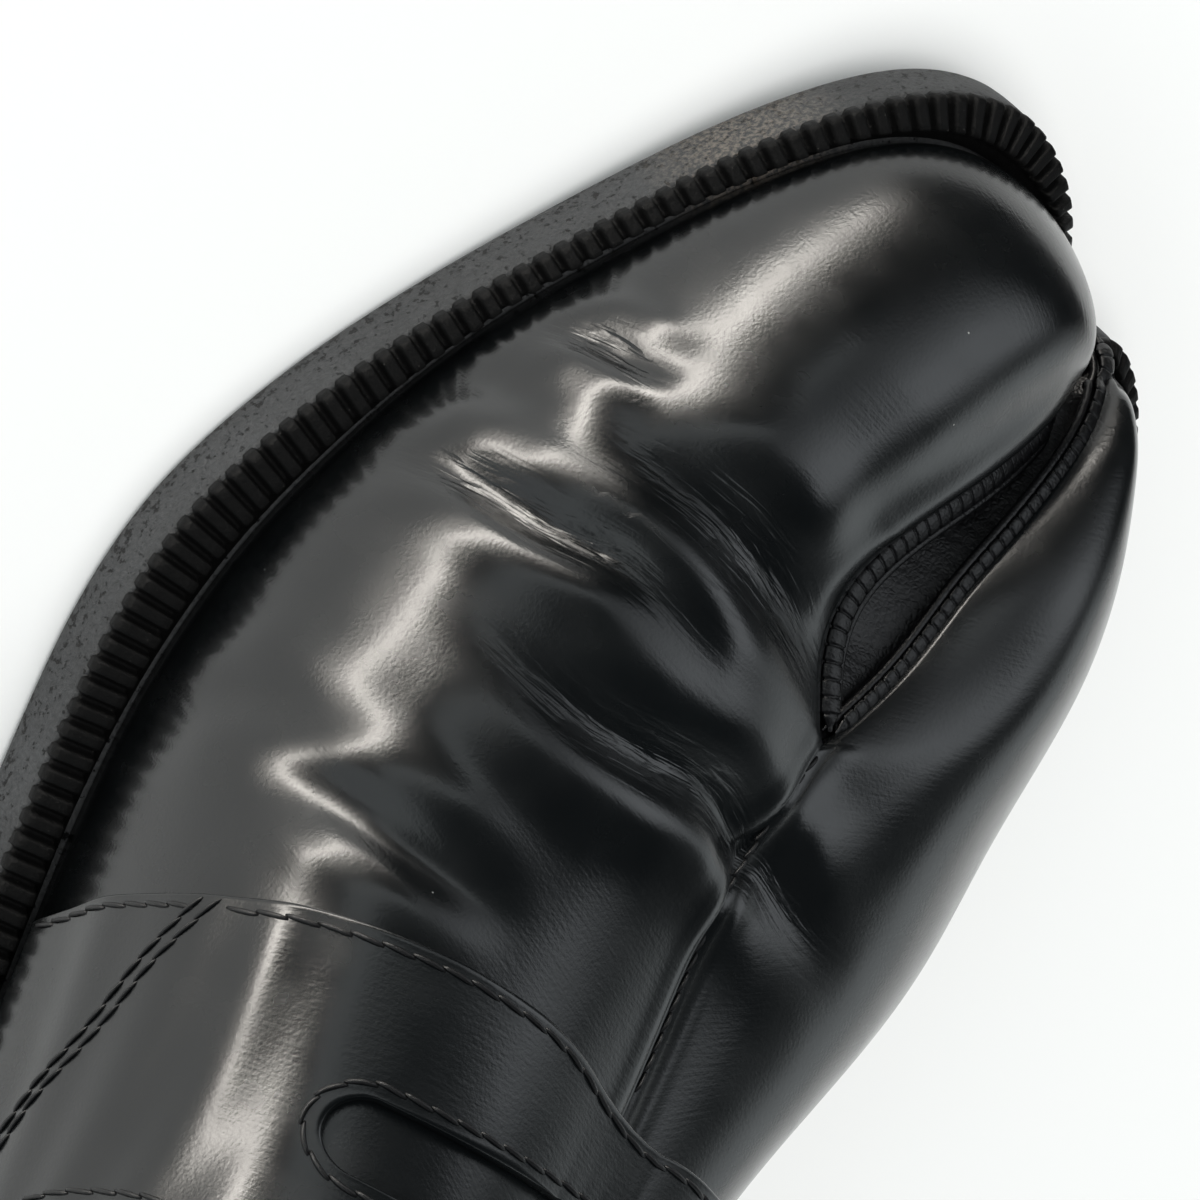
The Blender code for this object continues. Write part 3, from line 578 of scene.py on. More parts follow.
# Walking creases, each a soft trough with a ridge on both sides, given by its path as station and
# place across the shoe. Columns: depth, half width, ridge ahead, ridge behind, ridge distance, spread
# of the fine wrinkles, path
CREASES = (
    (1.1, 1.8, 0.8, 0.8, 4.2, 2.2, ((15.02, 0.10), (15.22, 0.24), (15.31, 0.33), (15.42, 0.46))),
    (1.7, 2.3, 1.1, 1.2, 5.2, 2.4, ((13.15, 0.05), (13.42, 0.21), (13.57, 0.32), (13.72, 0.46), (13.90, 0.58),
                                    (13.92, 0.70), (13.9, 0.82))),
    (2.2, 4.2, 0.9, 0.9, 8.0, 3.2, ((14.45, 0.36), (14.62, 0.50), (14.74, 0.63), (14.76, 0.77), (14.66, 0.90),
                                    (14.35, 1.0))),
    (1.9, 2.8, 1.1, 1.2, 6.2, 2.6, ((12.50, 0.36), (12.74, 0.47), (12.86, 0.64), (13.15, 0.82), (13.25, 0.98),
                                    (12.75, 1.13), (12.3, 1.3))),
    (1.4, 2.6, 1.0, 1.0, 5.6, 0.0, ((10.55, 0.24), (10.92, 0.37), (11.25, 0.54), (11.6, 0.76))),
    (0.7, 2.8, 0.5, 0.5, 6.0, 0.0, ((10.7, 0.06), (10.95, 0.18), (11.2, 0.30), (11.4, 0.42))),
    (0.6, 3.0, 0.4, 0.4, 6.5, 0.0, ((14.2, 0.04), (14.35, 0.14), (14.45, 0.24), (14.5, 0.34))),
)


def bell(x):
    """A bell curve: the exponential of minus the square."""
    return np.exp(-(x**2))


def dot(a, b):
    """Row by row product of two lists of vectors."""
    return np.einsum("ij,ij->i", a, b)


def along_line(line):
    """Unit direction along a line of points, and the length run up to each."""
    length = np.r_[0, np.cumsum(np.linalg.norm(np.diff(line, axis=0), axis=1))]
    return unit(np.gradient(line, axis=0)), length


def folds(points, face):
    """Height of the leather's folds and, for the strongest one, the distance across it, the distance
    along it and its strength: each fold is a bell-shaped trough across its path with a wider bell on
    each side, fading out at both ends."""
    rise = np.zeros(points.shape[:2])
    fine = np.zeros(points.shape)
    flat = points.reshape(-1, 3)
    for depth, width, ahead, behind, apart, spread, path in CREASES:
        line = over_both(*smooth(path, np.linspace(0, len(path) - 1, 240)).T)
        run, length = along_line(line)
        near = np.concatenate([
            np.linalg.norm(block[:, None] - line[None], axis=2).argmin(1)
            for block in np.array_split(flat, 12)
        ])
        off = flat - line[near]
        slide = dot(off, run[near])
        off -= run[near] * slide[:, None]
        side = dot(np.cross(face.reshape(-1, 3), run[near]), off)
        q = (np.sign(side) * np.linalg.norm(off, axis=1)).reshape(rise.shape)
        along = (length[near] + slide).reshape(rise.shape)
        end = ease(np.minimum(along, length[-1] - along) / (0.42 * length[-1]))
        broad = 0.62 * apart
        ridges = ahead * bell((q - apart) / broad) + behind * bell((q + apart) / broad)
        rise += end * (ridges - depth * bell(q / width))
        if spread > 0:
            strength = end * bell(q / spread)
            better = (strength > fine[..., 2])[..., None]
            fine = np.where(better, np.stack([q, along, strength], -1), fine)
    return rise, fine


# Polished box calf: nearly black with a cool cast and a few specks of dust, a smooth glazed finish
# with soft-edged reflections, fine wrinkles about 1 mm apart in the folds, and fibres combed across.
calf, tree, shader, place = finish_of("polished_box_calf", IOR=1.5, Coat_Weight=0.35, Coat_Roughness=0.16)
cloud = add_node(tree, "TexNoise", Vector=place, Scale=1 / 0.022, Detail=3.0)
fleck = add_node(tree, "TexVoronoi", Vector=place, Scale=1 / 0.008)
specks = remap(tree, fleck, 0.012, 0.018, 1.0, 0.0)
shade = blend(tree, specks, blend(tree, cloud, "#060708", "#0b0e0f"), "#8a8a86")
smear = add_node(tree, "TexNoise", Vector=place, Scale=1 / 0.006, Detail=4.0)
tree.links.new(remap(tree, smear, 0.3, 0.7, 0.2, 0.3).outputs[0], shader.inputs["Roughness"])
crease = add_node(tree, "Attribute", {"attribute_name": "crease"}).outputs["Vector"]
skin = add_node(tree, "Attribute", {"attribute_name": "skin"}).outputs["Vector"]
times = {"operation": "MULTIPLY"}
drawn = add_node(tree, "VectorMath", times, i0=crease, i1=(1 / 0.9, 1 / 8.0, 0.0))
combed = add_node(tree, "VectorMath", times, i0=skin, i1=(1 / 0.4, 1 / 3.5, 0.0))
flat = {"noise_dimensions": "2D"}
wrinkle = add_node(tree, "TexNoise", flat, Vector=drawn, Scale=1.0, Detail=2.0, Distortion=0.3)
strength = add_node(tree, "SeparateXYZ", Vector=crease).outputs[2]
wrinkled = reckon(tree, "MULTIPLY", remap(tree, wrinkle, 0.35, 0.6), strength)
fibre = add_node(tree, "TexNoise", flat, Vector=combed, Scale=1.0, Detail=3.0)
hair = add_node(tree, "TexNoise", Vector=place, Scale=1 / 0.0004, Detail=2.0)
faint = reckon(tree, "MULTIPLY_ADD", fibre, 0.7, hair)
dress(tree, shader, shade, reckon(tree, "MULTIPLY_ADD", faint, 0.12, wrinkled), 0.00016, 0.8)

# Lining leather: the upper's inside, dark brown, unglazed, with a pore grain of about 0.7 mm.
lining, tree, shader, place = finish_of("lining_leather", Roughness=0.7, IOR=1.48)
pores = add_node(tree, "TexVoronoi", Vector=place, Scale=1 / 0.0007)
dress(tree, shader, blend(tree, pores, "#2c2520", "#3b322b"), pores, 0.00008, 0.4)

# The skin's outside is a fine grid, its inside one of every COARSE points. The last stations before
# each lobe's tip are averaged.
ROWS_UP = 100
COARSE = 4
TIP_AVERAGE = 14
SEAM_PUFF = 0.3
SEAM_CUT = 0.4
EDGE_TURN = (0.7, 0.1)
WALL_LEAN = 1.3
SHOULDER = 1.6
v = np.linspace(0, 1, ROWS_UP + 1)
grids = []
for side in (LATERAL, MEDIAL):
    k = np.r_[np.linspace(0, THROAT, 65), np.linspace(THROAT, SPLIT, 81)[1:],
              np.linspace(SPLIT, side["last"], 201)[1:]]
    base = upper_point(side, k[:, None], v[None])
    near = np.arange(len(k))[:, None] + np.arange(-TIP_AVERAGE, TIP_AVERAGE + 1)
    tip = np.clip((k - side["last"] + 2.6) / 1.2, 0, 1)[:, None, None]
    base = base * (1 - tip) + base[near.clip(0, len(k) - 1)].mean(1) * tip
    grids.append((k, base, normals(base, side["turn"])))
k = grids[0][0]
sewn = np.flatnonzero((k >= THROAT - 1e-6) & (k <= SPLIT + 1e-6))
shared = unit(grids[0][2][sewn, -1] + grids[1][2][sewn, -1])
heel_back = unit(grids[0][2][0] + grids[1][2][0])
outer_points, inner_points, wrinkles, skins, outer_number, inner_number = [], [], [], [], [], []
for half, (k, base, face) in enumerate(grids):
    face[:, -1] = face[:, -3]
    face[sewn, -1] = shared
    face[0] = heel_back
    rise, fine = folds(base, face)
    to_edge = np.linalg.norm(base - base[:, -1:], axis=2)
    in_seam = (np.clip((k - 11.0) / 0.4, 0, 1) * (k <= SPLIT))[:, None]
    rise += in_seam * (SEAM_PUFF * bell((to_edge - 2.0) / 1.3) - SEAM_CUT * bell(to_edge / 0.6))
    rise -= (k > SPLIT)[:, None] * EDGE_TURN[half] * bell(to_edge / 0.8)
    if half == 0:
        flat_wall = np.clip((k - 6.0) / 2.0, 0, 1) * np.clip((17.0 - k) / 2.0, 0, 1)
        rise -= WALL_LEAN * flat_wall[:, None] * (HULL * v * (1 - v) ** 2)[None]
        shoulder = np.clip((k - 14.8) / 1.2, 0, 1) * ease((23.0 - k) / 5.0)
        rise += SHOULDER * shoulder[:, None] * bell((to_edge - 5.5) / 3.6)
    else:
        rise -= WALL_LEAN * bell((k - 18.0) / 2.4)[:, None] * bell((v - 0.4) / 0.28)[None]
    outside = base + face * rise[..., None]
    outer_points.append(outside)
    wrinkles.append(fine)
    ahead = along_line(base[:, ROWS_UP // 2])[1]
    skins.append(np.stack(np.broadcast_arrays(ahead[:, None], to_edge * (2 * half - 1), 0.0), -1))
    soft = face.copy()
    soft[:, -1] = soft[:, -4]
    soft[2:-2] = (soft[:-4] + soft[1:-3] + soft[2:-2] + soft[3:-1] + soft[4:]) / 5
    wall = UPPER_WALL * np.clip((k[-1] - k) / 2.5, 0.2, 1.0)[:, None, None]
    inner_points.append((outside - unit(soft) * wall)[::COARSE, ::COARSE])
    for number, points in ((outer_number, outside), (inner_number, inner_points[-1])):
        number.append(numbered(points))
outer_number[1] += outer_number[0].size
inner_number[0] += outer_number[0].size + outer_number[1].size
inner_number[1] += inner_number[0].max() + 1
for number, rows in ((outer_number, sewn), (inner_number, sewn[sewn % COARSE == 0] // COARSE)):
    number[1][rows, -1] = number[0][rows, -1]
    number[1][0] = number[0][0]


def strip(line):
    """Numbers of the fine points along each coarse edge of a rim."""
    return np.stack([line[i : len(line) - COARSE + i : COARSE] for i in range(COARSE + 1)], -1)


faces, inside = [], []
for half, turn in ((0, 1), (1, -1)):
    outer, inner, k = outer_number[half], inner_number[half], grids[half][0]
    faces.append(quads(outer)[:, ::turn])
    inside.append(quads(inner)[:, ::-turn])
    faces.append(np.c_[strip(outer[:, 0]), inner[1:, 0], inner[:-1, 0]][:, ::turn])
    joined = (k[:-1:COARSE] >= THROAT - 1e-6) & (k[COARSE::COARSE] <= SPLIT + 1e-6)
    edge = np.c_[strip(outer[:, -1])[:, ::-1], inner[:-1, -1], inner[1:, -1]]
    faces.append(edge[~joined][:, ::turn])
    faces.append(np.c_[strip(outer[-1]), inner[-1, 1:], inner[-1, :-1]][:, ::turn])
points = np.vstack([p.reshape(-1, 3) for p in outer_points + inner_points])
used = np.unique(np.concatenate([f.ravel() for f in faces + inside]))
renumber = np.zeros(len(points), int)
renumber[used] = np.arange(len(used))
upper = piece("upper_leather", points[used], [renumber[f] for f in faces + inside], calf, "polished_leather")
upper.data.materials.append(lining)
which = np.zeros(len(upper.data.polygons), np.int32)
which[sum(len(f) for f in faces) :] = 1
upper.data.polygons.foreach_set("material_index", which)
for name, table in (("crease", wrinkles), ("skin", skins)):
    values = np.zeros((len(points), 3))
    values[: sum(part[..., 0].size for part in table)] = np.vstack([part.reshape(-1, 3) for part in table])
    tag(upper.data, name, values[used], "FLOAT_VECTOR")
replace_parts(upper, "upper")

# Toe gusset: a soft, thin nappa leather sewn under both lobe edges, hanging in a valley down to the
# welt. Unpolished, gathered in small creases across the valley.
GUSSET_WALL = 1.2
# Station and height of the valley's floor
VALLEY = ((14.1, 36.0), (15, 28.6), (16, 23.4), (17, 20.0), (18, 18.4), (19, 17.4), (20, 16.5), (21, 15.6),
          (22.4, 13.8))
# Where the gusset's flanks and its two edges come down on the welt, outer lobe first
FLANK_FEET = np.array([(17.6, 123.4, 10.4), (29.5, 127.0, 10.8)])
EDGE_FEET = np.array([(22.0, 125.2, 11.0), (27.2, 130.4, 11.3)])
GATHER_DEPTH = 0.06
GATHER_PITCH = 2.3
nappa, tree, shader, place = finish_of("soft_nappa", Roughness=0.37, IOR=1.5, Base_Color=linear("#050506"))
cells = add_node(tree, "TexVoronoi", {"feature": "DISTANCE_TO_EDGE"}, Vector=place, Scale=1 / 0.0006)
stretch = add_node(tree, "Mapping", {"vector_type": "POINT"}, Vector=place, Rotation=(0, 0, -0.6),
                   Scale=(0.35, 1.6, 1.0))
gather = add_node(tree, "TexNoise", Vector=stretch, Scale=1 / 0.0012, Detail=3.0)
dress(tree, shader, None, reckon(tree, "MULTIPLY_ADD", cells, 0.8, gather), 0.00014, 0.6)
k = np.linspace(14.06, 22.4, 110)
flanks = []
for side, reach, end in ((LATERAL, 20.5, 24.4), (MEDIAL, 21.5, 22.8)):
    station = np.interp(k, (SPLIT, 21.0, 22.4), (SPLIT, reach, end))
    under = upper_point(side, station[:, None], np.linspace(0.80, 1.0, 9)[None])
    face = normals(under, side["turn"])
    face[:, -1] = face[:, -2]
    sink = folds(under, face)[0] - UPPER_WALL - GAP
    flanks.append(under + sink[..., None] * face)
left, right = flanks[0], flanks[1][:, ::-1]
w = np.linspace(0, 1, 31)[None, 1:-1, None]
dip = left[:, -1:] * (1 - w) + right[:, :1] * w
depth = np.maximum((left[:, -1, 2] + right[:, 0, 2]) / 2 - np.interp(k, *np.array(VALLEY).T), 0.6)
lean = w[..., 0] ** 0.72
dip[..., 2] -= depth[:, None] * (1 - np.abs(2 * lean - 1) ** 1.8)
t = np.linspace(0, 1, 25)[1:, None]
bow = 4 * t * (1 - t)
left_run = (EDGE_FEET[0] - left[-1, -1]) * t + bow * (0.5, 0.2, 0.7)
right_run = (EDGE_FEET[1] - right[-1, 0]) * t + bow * (0.7, 0.2, 0.9)
left_far = (FLANK_FEET[0] - left[-1, 0]) * t
right_far = (FLANK_FEET[1] - right[-1, -1]) * t
share = np.linspace(0, 1, 9)[None, :, None]
front = np.concatenate([
    left[-1] + left_far[:, None] * (1 - share) + left_run[:, None] * share,
    dip[-1] + left_run[:, None] * (1 - w) + right_run[:, None] * w,
    right[-1] + right_run[:, None] * (1 - share) + right_far[:, None] * share,
], 1)
hang = np.concatenate([np.concatenate([left, dip, right], 1), front])
face = normals(hang, 1.0)
ripple = GATHER_DEPTH * np.sin(2 * np.pi * along_line(hang[:, 20])[1] / GATHER_PITCH)
ripple *= np.interp(np.arange(len(ripple)), (20, 55), (1.0, 0.0))
hang = hang + face * (ripple[:, None] * np.sin(np.pi * np.linspace(0, 1, hang.shape[1]))[None])[..., None]


def slab(top, face, thick):
    """A closed sheet: a grid of points, the same grid moved back along its normals, and four rims."""
    number = numbered(top)
    rim = np.concatenate([number[0], number[1:, -1], number[-1, -2::-1], number[-2:0:-1, 0]])
    ahead = np.roll(rim, -1)
    sides = np.stack([rim, ahead, ahead + number.size, rim + number.size], -1)
    return np.stack([top, top - thick * face]), [quads(number)[:, ::-1], quads(number + number.size), sides]


gusset = piece("toe_gusset_nappa", *slab(hang, face, GUSSET_WALL), nappa, "soft_leather")
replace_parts(gusset, "toe_gusset")

# Edge rolls of the cleft: on both lobes the leather is turned in over a cord and sewn through from
# above, so that it puffs up between the stitches.
PINCH = 1.75
PINCH_HALF = 0.13
ROLL_SIDES = 14
EDGE_STEPS = 900
ON_STEPS = 160
AVERAGED = 61


def upright(run):
    """The upward unit direction square to each direction of a run."""
    return unit(np.array([0.0, 0.0, 1.0]) - run * run[:, 2:])


def toward(run, face, inward):
    """The direction square to a run and to its face, on the side where inward points."""
    side = np.cross(run, face)
    return side * np.sign(dot(side, inward))[:, None]


def roll(line, face, inward, radius, puff, pitch):
    """A flattened tube along a line, an ellipse of the two given radii, pinched in by the given share
    in a narrow bell once every pitch."""
    run, length = along_line(line)
    side = toward(run, face, inward)
    pinch = np.abs((length / pitch + 0.5) % 1.0 - 0.5) * pitch
    swell = 1 - puff * bell(pinch / PINCH_HALF)
    swell *= np.clip(np.minimum(length, length[-1] - length) / 2.0, 0.25, 1.0)
    turn = np.linspace(0, 2 * np.pi, ROLL_SIDES + 1)[:-1, None]
    ring = side[:, None] * np.cos(turn) * radius[0] + face[:, None] * np.sin(turn) * radius[1]
    grid = line[:, None] + ring * swell[:, None, None]
    number = numbered(grid)
    caps = np.stack([number[0], number[-1, ::-1]])
    return grid, [quads(np.c_[number, number[:, :1]])[:, ::-1], caps]


for name, side, stop, onward, offset, thick, puff in (
    ("outer_lobe_binding", LATERAL, 22.0, left_run, (1.15, -0.35), (1.25, 0.5), 0.26),
    ("outer_lobe_lip", LATERAL, 22.0, left_run, (2.75, -0.85), (0.5, 0.5), 0.0),
    ("inner_lobe_binding", MEDIAL, 22.3, right_run, (0.2, -0.15), (1.0, 0.38), 0.3),
    ("inner_lobe_lip", MEDIAL, 22.3, right_run, (1.6, -0.6), (0.5, 0.5), 0.0),
):
    k = np.linspace(SPLIT + 0.1, stop, EDGE_STEPS)
    near_edge = upper_point(side, k[:, None], np.array([0.94, 1.0])[None])
    inward = unit((near_edge[:, 1] - near_edge[:, 0]) * (1.0, 1.0, 0.0))
    line = near_edge[:, 1] + inward * offset[0] + np.array([0.0, 0.0, offset[1]])
    line = np.vstack([line, line[-1] + smooth(onward, np.linspace(0, len(onward) - 1, ON_STEPS))])
    inward = np.vstack([inward, np.repeat(inward[-1:], ON_STEPS, 0)])
    kernel = np.hanning(AVERAGED) / np.hanning(AVERAGED).sum()
    padded = np.pad(line, ((AVERAGED // 2, AVERAGED // 2), (0, 0)), mode="edge")
    line = np.stack([np.convolve(padded[:, i], kernel, "valid") for i in range(3)], -1)
    made = roll(line, upright(along_line(line)[0]), inward, thick, puff, PINCH)
    piece(name, *made, nappa, "soft_leather")

# Collar: the calf is turned over the edge of the opening into a plain round bead.
BEAD_RADII = (1.4, 1.1)
BEAD_IN = 0.95
BEAD_DOWN = 0.85
OPENING_MIDDLE = np.array([-3.0, -66.0, 0.0])
k = np.linspace(THROAT, 0, 500)
rim_line = np.vstack([edge_line(LATERAL, k), edge_line(MEDIAL, k[::-1])[1:]])
run = along_line(rim_line)[0]
up = upright(run)
inward = OPENING_MIDDLE - rim_line * (1.0, 1.0, 0.0)
bead_line = rim_line + toward(run, up, inward) * BEAD_IN - up * BEAD_DOWN
piece("collar_bead", *roll(bead_line, up, inward, BEAD_RADII, 0.0, 1.0), calf, "polished_leather")

# Tongue: a padded flap of the same calf under the throat, sewn in under the strap.
TONGUE_WALL = 2.0
THROAT_LINE = ((-40.0, -2.0, 14.0, 30.0), (85.0, 71.0, 63.4, 55.6))
NOTHING_ABOVE = 999.0
t = np.linspace(0, 1, 60)[:, None]
s = np.linspace(-1, 1, 50)[None]
tongue_y = 26.0 - 54.0 * t + 3.0 * s**2 * t
tongue_x = -1.5 + (15.0 + 3.0 * t) * s * np.sqrt(1 - 0.25 * np.clip((t - 0.75) / 0.25, 0, 1) ** 2)
tongue_z = np.interp(tongue_y, *THROAT_LINE) - UPPER_WALL - GAP - 7.0 * s**2
roof = np.vstack([
    upper_point(side, np.linspace(6, 12.5, 120)[:, None], np.linspace(0.3, 1, 60)[None]).reshape(-1, 3)
    for side in (LATERAL, MEDIAL)
])
spot = np.stack([tongue_x, tongue_y], -1).reshape(-1, 2)
far = np.linalg.norm(spot[:, None] - roof[None, :, :2], axis=2)
low = np.where(far < 2.0, roof[None, :, 2], NOTHING_ABOVE).min(1)
tongue_z = np.minimum(tongue_z, low.reshape(tongue_z.shape) - UPPER_WALL - 0.4)
flap = np.stack([tongue_x, tongue_y, tongue_z], -1)
face = normals(flap, -1.0)
face *= np.sign(face[30, 25, 2])
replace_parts(piece("tongue_flap", *slab(flap, face, TONGUE_WALL), calf, "polished_leather"), "tongue")

# Saddle strap: a band of the same calf across the instep, its wings running down to the welt, with a
# bent slot cut through it over the middle. Folded edges, sewn down all round.
STRAP_GAP = 0.45
# Columns: height, lateral_front, lateral_rear, medial_front, medial_rear
STRAP_EDGES = np.array((
    (0.00, 8.20, 5.80, 8.20, 5.90),
    (0.15, 8.90, 6.25, 8.65, 6.35),
    (0.30, 9.75, 6.95, 9.25, 6.95),
    (0.50, 10.55, 7.85, 9.95, 7.75),
    (0.70, 11.10, 8.70, 10.55, 8.60),
    (0.85, 11.45, 9.30, 11.05, 9.20),
    (1.00, 11.55, 9.75, 11.55, 9.75),
))
STRAP_EVEN = np.vstack([
    STRAP_EDGES[:, :3],
    np.c_[2 - STRAP_EDGES[-2::-1, 0], STRAP_EDGES[-2::-1, 3:5]],
])
EDGES_AVERAGED = 0.2
SEAM_BRIDGED = 0.07
SLOT_LENGTH = 38.0
SLOT_WIDTH = 7.0
SLOT_BEND = 1.6
SLOT_CENTRE = (-10.0, 24.4)
# Distance in from an edge and height above the strap's underside, from the underside up
EDGE = ((0.0, 0.05), (0.0, 0.8), (0.08, 1.2), (0.25, 1.42), (0.55, 1.52))
STRAP_TOP = 1.5
STRAP_ENDS = (0.04, 1.96)
PER_SIDE = 110


def strap_edges(s):
    """Front and rear station of the strap at s, averaged over a stretch of s, so that they run on
    without a corner at the seam."""
    room = np.clip(np.minimum(s, 2 - s) / EDGES_AVERAGED, 0, 1)
    near = np.asarray(s)[..., None] + EDGES_AVERAGED * room[..., None] * np.linspace(-1, 1, 15)
    return [np.interp(near, STRAP_EVEN[:, 0], STRAP_EVEN[:, i]).mean(-1) for i in (1, 2)]


def strap_point(s, f):
    """A point of the upper under the strap: s runs across the shoe as in over_both, f from the rear
    edge (0) to the front edge (1). Averaged over a few millimetres of s, so that it bridges the seam."""
    front, rear = strap_edges(np.clip(s, 0, 2))
    k = rear + (front - rear) * f
    step = SEAM_BRIDGED * np.clip(np.minimum(s, 2 - s) / 0.1, 0, 1)
    return sum(over_both(k, s + share * step) for share in (-1, -0.5, 0, 0.5, 1)) / 5


fine_s = np.linspace(0.03, 1.97, 500)
fine_f = np.linspace(0, 1, 90)
chart = strap_point(fine_s[:, None], fine_f[None])
chart_face = normals(chart.transpose(1, 0, 2), 1.0).transpose(1, 0, 2)


def on_strap(s, f, lift):
    """Points lifted off the strap's chart along its normals, read by bilinear interpolation, and those
    normals. The strap's top waves a little on the outer wing: two cosines, each under a bell."""
    a = np.clip((s - fine_s[0]) / (fine_s[1] - fine_s[0]), 0, len(fine_s) - 1.001)
    b = np.clip(f / (fine_f[1] - fine_f[0]), 0, len(fine_f) - 1.001)
    i, j = a.astype(int), b.astype(int)
    p, q = (a - i)[..., None], (b - j)[..., None]
    place, face = (
        table[i, j] * (1 - p) * (1 - q) + table[i + 1, j] * p * (1 - q)
        + table[i, j + 1] * (1 - p) * q + table[i + 1, j + 1] * p * q
        for table in (chart, chart_face)
    )
    wave = 0.2 * np.cos(2 * np.pi * (s - 0.435) / 0.125) * bell((s - 0.40) / 0.13)
    wave = wave + 0.16 * np.cos(2 * np.pi * (s - 0.12 + 0.06 * f) / 0.11) * bell((s - 0.17) / 0.1)
    return place + face * (lift + wave * (lift > 0.8))[..., None], face


def slot_line(beyond, count):
    """The slot's outline in the strap's own s and f: a bent stadium in plan, looked up on the chart and
    then refined by Newton steps. Starts at the right end's front corner and runs by the front side,
    left end, rear side, right end."""
    half_long = (SLOT_LENGTH - SLOT_WIDTH) / 2
    radius = SLOT_WIDTH / 2 + beyond
    u = np.linspace(0, 1, count)
    arc = np.pi * u
    level = np.full(count, radius)
    plan = lambda s, f: on_strap(s, f, np.zeros(len(s)))[0][:, :2]
    sides = []
    for x, y in (
        (half_long - 2 * half_long * u, level),
        (-half_long - radius * np.sin(arc), radius * np.cos(arc)),
        (-half_long + 2 * half_long * u, -level),
        (half_long + radius * np.sin(arc), -radius * np.cos(arc)),
    ):
        line = np.c_[x, y - SLOT_BEND * (2 * x / SLOT_LENGTH) ** 2] + SLOT_CENTRE
        far = np.linalg.norm(chart[None, :, :, :2] - line[:, None, None], axis=3).reshape(count, -1)
        nearest = far.argmin(1)
        s, f = fine_s[nearest // len(fine_f)], fine_f[nearest % len(fine_f)]
        for _ in range(5):
            by_s = (plan(s + 0.01, f) - plan(s - 0.01, f)) / 0.02
            by_f = (plan(s, f + 0.02) - plan(s, f - 0.02)) / 0.04
            step = np.linalg.solve(np.stack([by_s, by_f], -1), (line - plan(s, f))[..., None])[..., 0]
            s, f = s + step[:, 0], f + step[:, 1]
        sides.append(np.c_[s, f][:-1])
    return np.vstack(sides)


slot_loop = slot_line(0.0, PER_SIDE)
u = np.linspace(0, 1, PER_SIDE)[:-1]
low_end, high_end = STRAP_ENDS
rim_loop = np.vstack([
    np.c_[high_end + (low_end - high_end) * u, np.ones(len(u))],
    np.c_[np.full(len(u), low_end), 1 - u],
    np.c_[low_end + (high_end - low_end) * u, np.zeros(len(u))],
    np.c_[np.full(len(u), high_end), u],
])
ends = [on_strap(*loop.T, np.zeros(len(loop)))[0] for loop in (rim_loop, slot_loop)]
reach = np.linalg.norm(ends[0] - ends[1], axis=1)
flat_from = 0.9 / reach
columns = [(d / reach, h) for d, h in EDGE]
columns += [(flat_from + (1 - 2 * flat_from) * share, STRAP_TOP) for share in np.linspace(0, 1, 44)]
columns += [(1 - d / reach, h) for d, h in EDGE[::-1]]
columns += [(np.full(len(reach), share), EDGE[0][1]) for share in np.linspace(0.96, 0.04, 24)]
shares = np.stack([share for share, _ in columns], 1)
lifts = np.stack([np.full(len(reach), h) for _, h in columns], 1) + STRAP_GAP
s = slot_loop[:, :1] * (1 - shares) + rim_loop[:, :1] * shares
f = slot_loop[:, 1:] * (1 - shares) + rim_loop[:, 1:] * shares
band = on_strap(s, f, lifts)[0]
ring = np.pad(numbered(band), ((0, 1), (0, 1)), mode="wrap")
strap = piece("saddle_strap_leather", band, [quads(ring)], calf, "polished_leather")
tag(strap.data, "skin", np.stack([30 * f, 95 * s, np.zeros_like(s)], -1), "FLOAT_VECTOR")
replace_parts(strap, "saddle_strap")

# Welt: a strip pressed into ribs across its width, sewn round the forefoot between the sole's rim
# and the foot of the upper. Matte black, dusty between the ribs.
RIB_PITCH = 2.4
RIB_DEPTH = 1.35
WELT_OUTER_RISE = 1.6
WELT_INNER_RISE = 3.6
WELT_FROM = 4.6
LEAN_EVERY = 6
# Share of the way from rim to upper, share of the height, share of the ribs' depth
WELT_SIDE = (
    (0.0, 0.0, 0.1), (0.0, 0.5, 0.6), (0.02, 0.85, 0.9), (0.06, 1.0, 1.0), (0.2, 1.0, 1.0),
    (0.4, 1.0, 1.0), (0.55, 1.0, 1.0), (0.68, 1.0, 1.0), (0.74, 0.92, 0.95), (0.78, 0.6, 0.6),
    (0.8, 0.25, 0.0), (1.0, 0.2, 0.0), (1.0, 0.0, 0.0),
)
welt_black, tree, shader, place = finish_of("pressed_welt", Roughness=0.5, Specular_IOR_Level=0.1)
lint = add_node(tree, "TexNoise", Vector=place, Scale=1 / 0.0005, Detail=3.0, Roughness=0.7)
shade = blend(tree, remap(tree, lint, 0.7, 0.76), "#0c0c0c", "#5a5754")
dress(tree, shader, shade, lint, 0.0002, 0.6)


def strip_lines(k, right):
    """Sole rim, foot of the upper and outward direction at stations of either half."""
    found = []
    for side in (LATERAL, MEDIAL):
        row, out = plan_at(side, k)
        found.append((row[:, :2], row[:, 2:], out))
    return [np.where(right[:, None], b, a) for a, b in zip(*found)]


def overhang(foot, out, ceiling):
    """How far the upper's wall leans out over its foot line below the given height."""
    heights = np.linspace(0, 0.7, 22)[None]
    cloud = np.vstack([
        upper_point(side, np.linspace(4, side["last"], 420)[:, None], heights).reshape(-1, 3)
        for side in (LATERAL, MEDIAL)
    ])
    lean = []
    for rows in np.array_split(np.arange(len(foot)), 16):
        offset = cloud[None, :, :2] - foot[rows, None]
        by = (offset * out[rows, None]).sum(2)
        along = np.abs(offset[..., 0] * out[rows, None, 1] - offset[..., 1] * out[rows, None, 0])
        near = (along < 1.3) & (np.abs(by) < 5.0) & (cloud[None, :, 2] < ceiling[rows, None])
        lean.append(np.where(near, by, 0.0).max(1))
    return np.concatenate(lean)


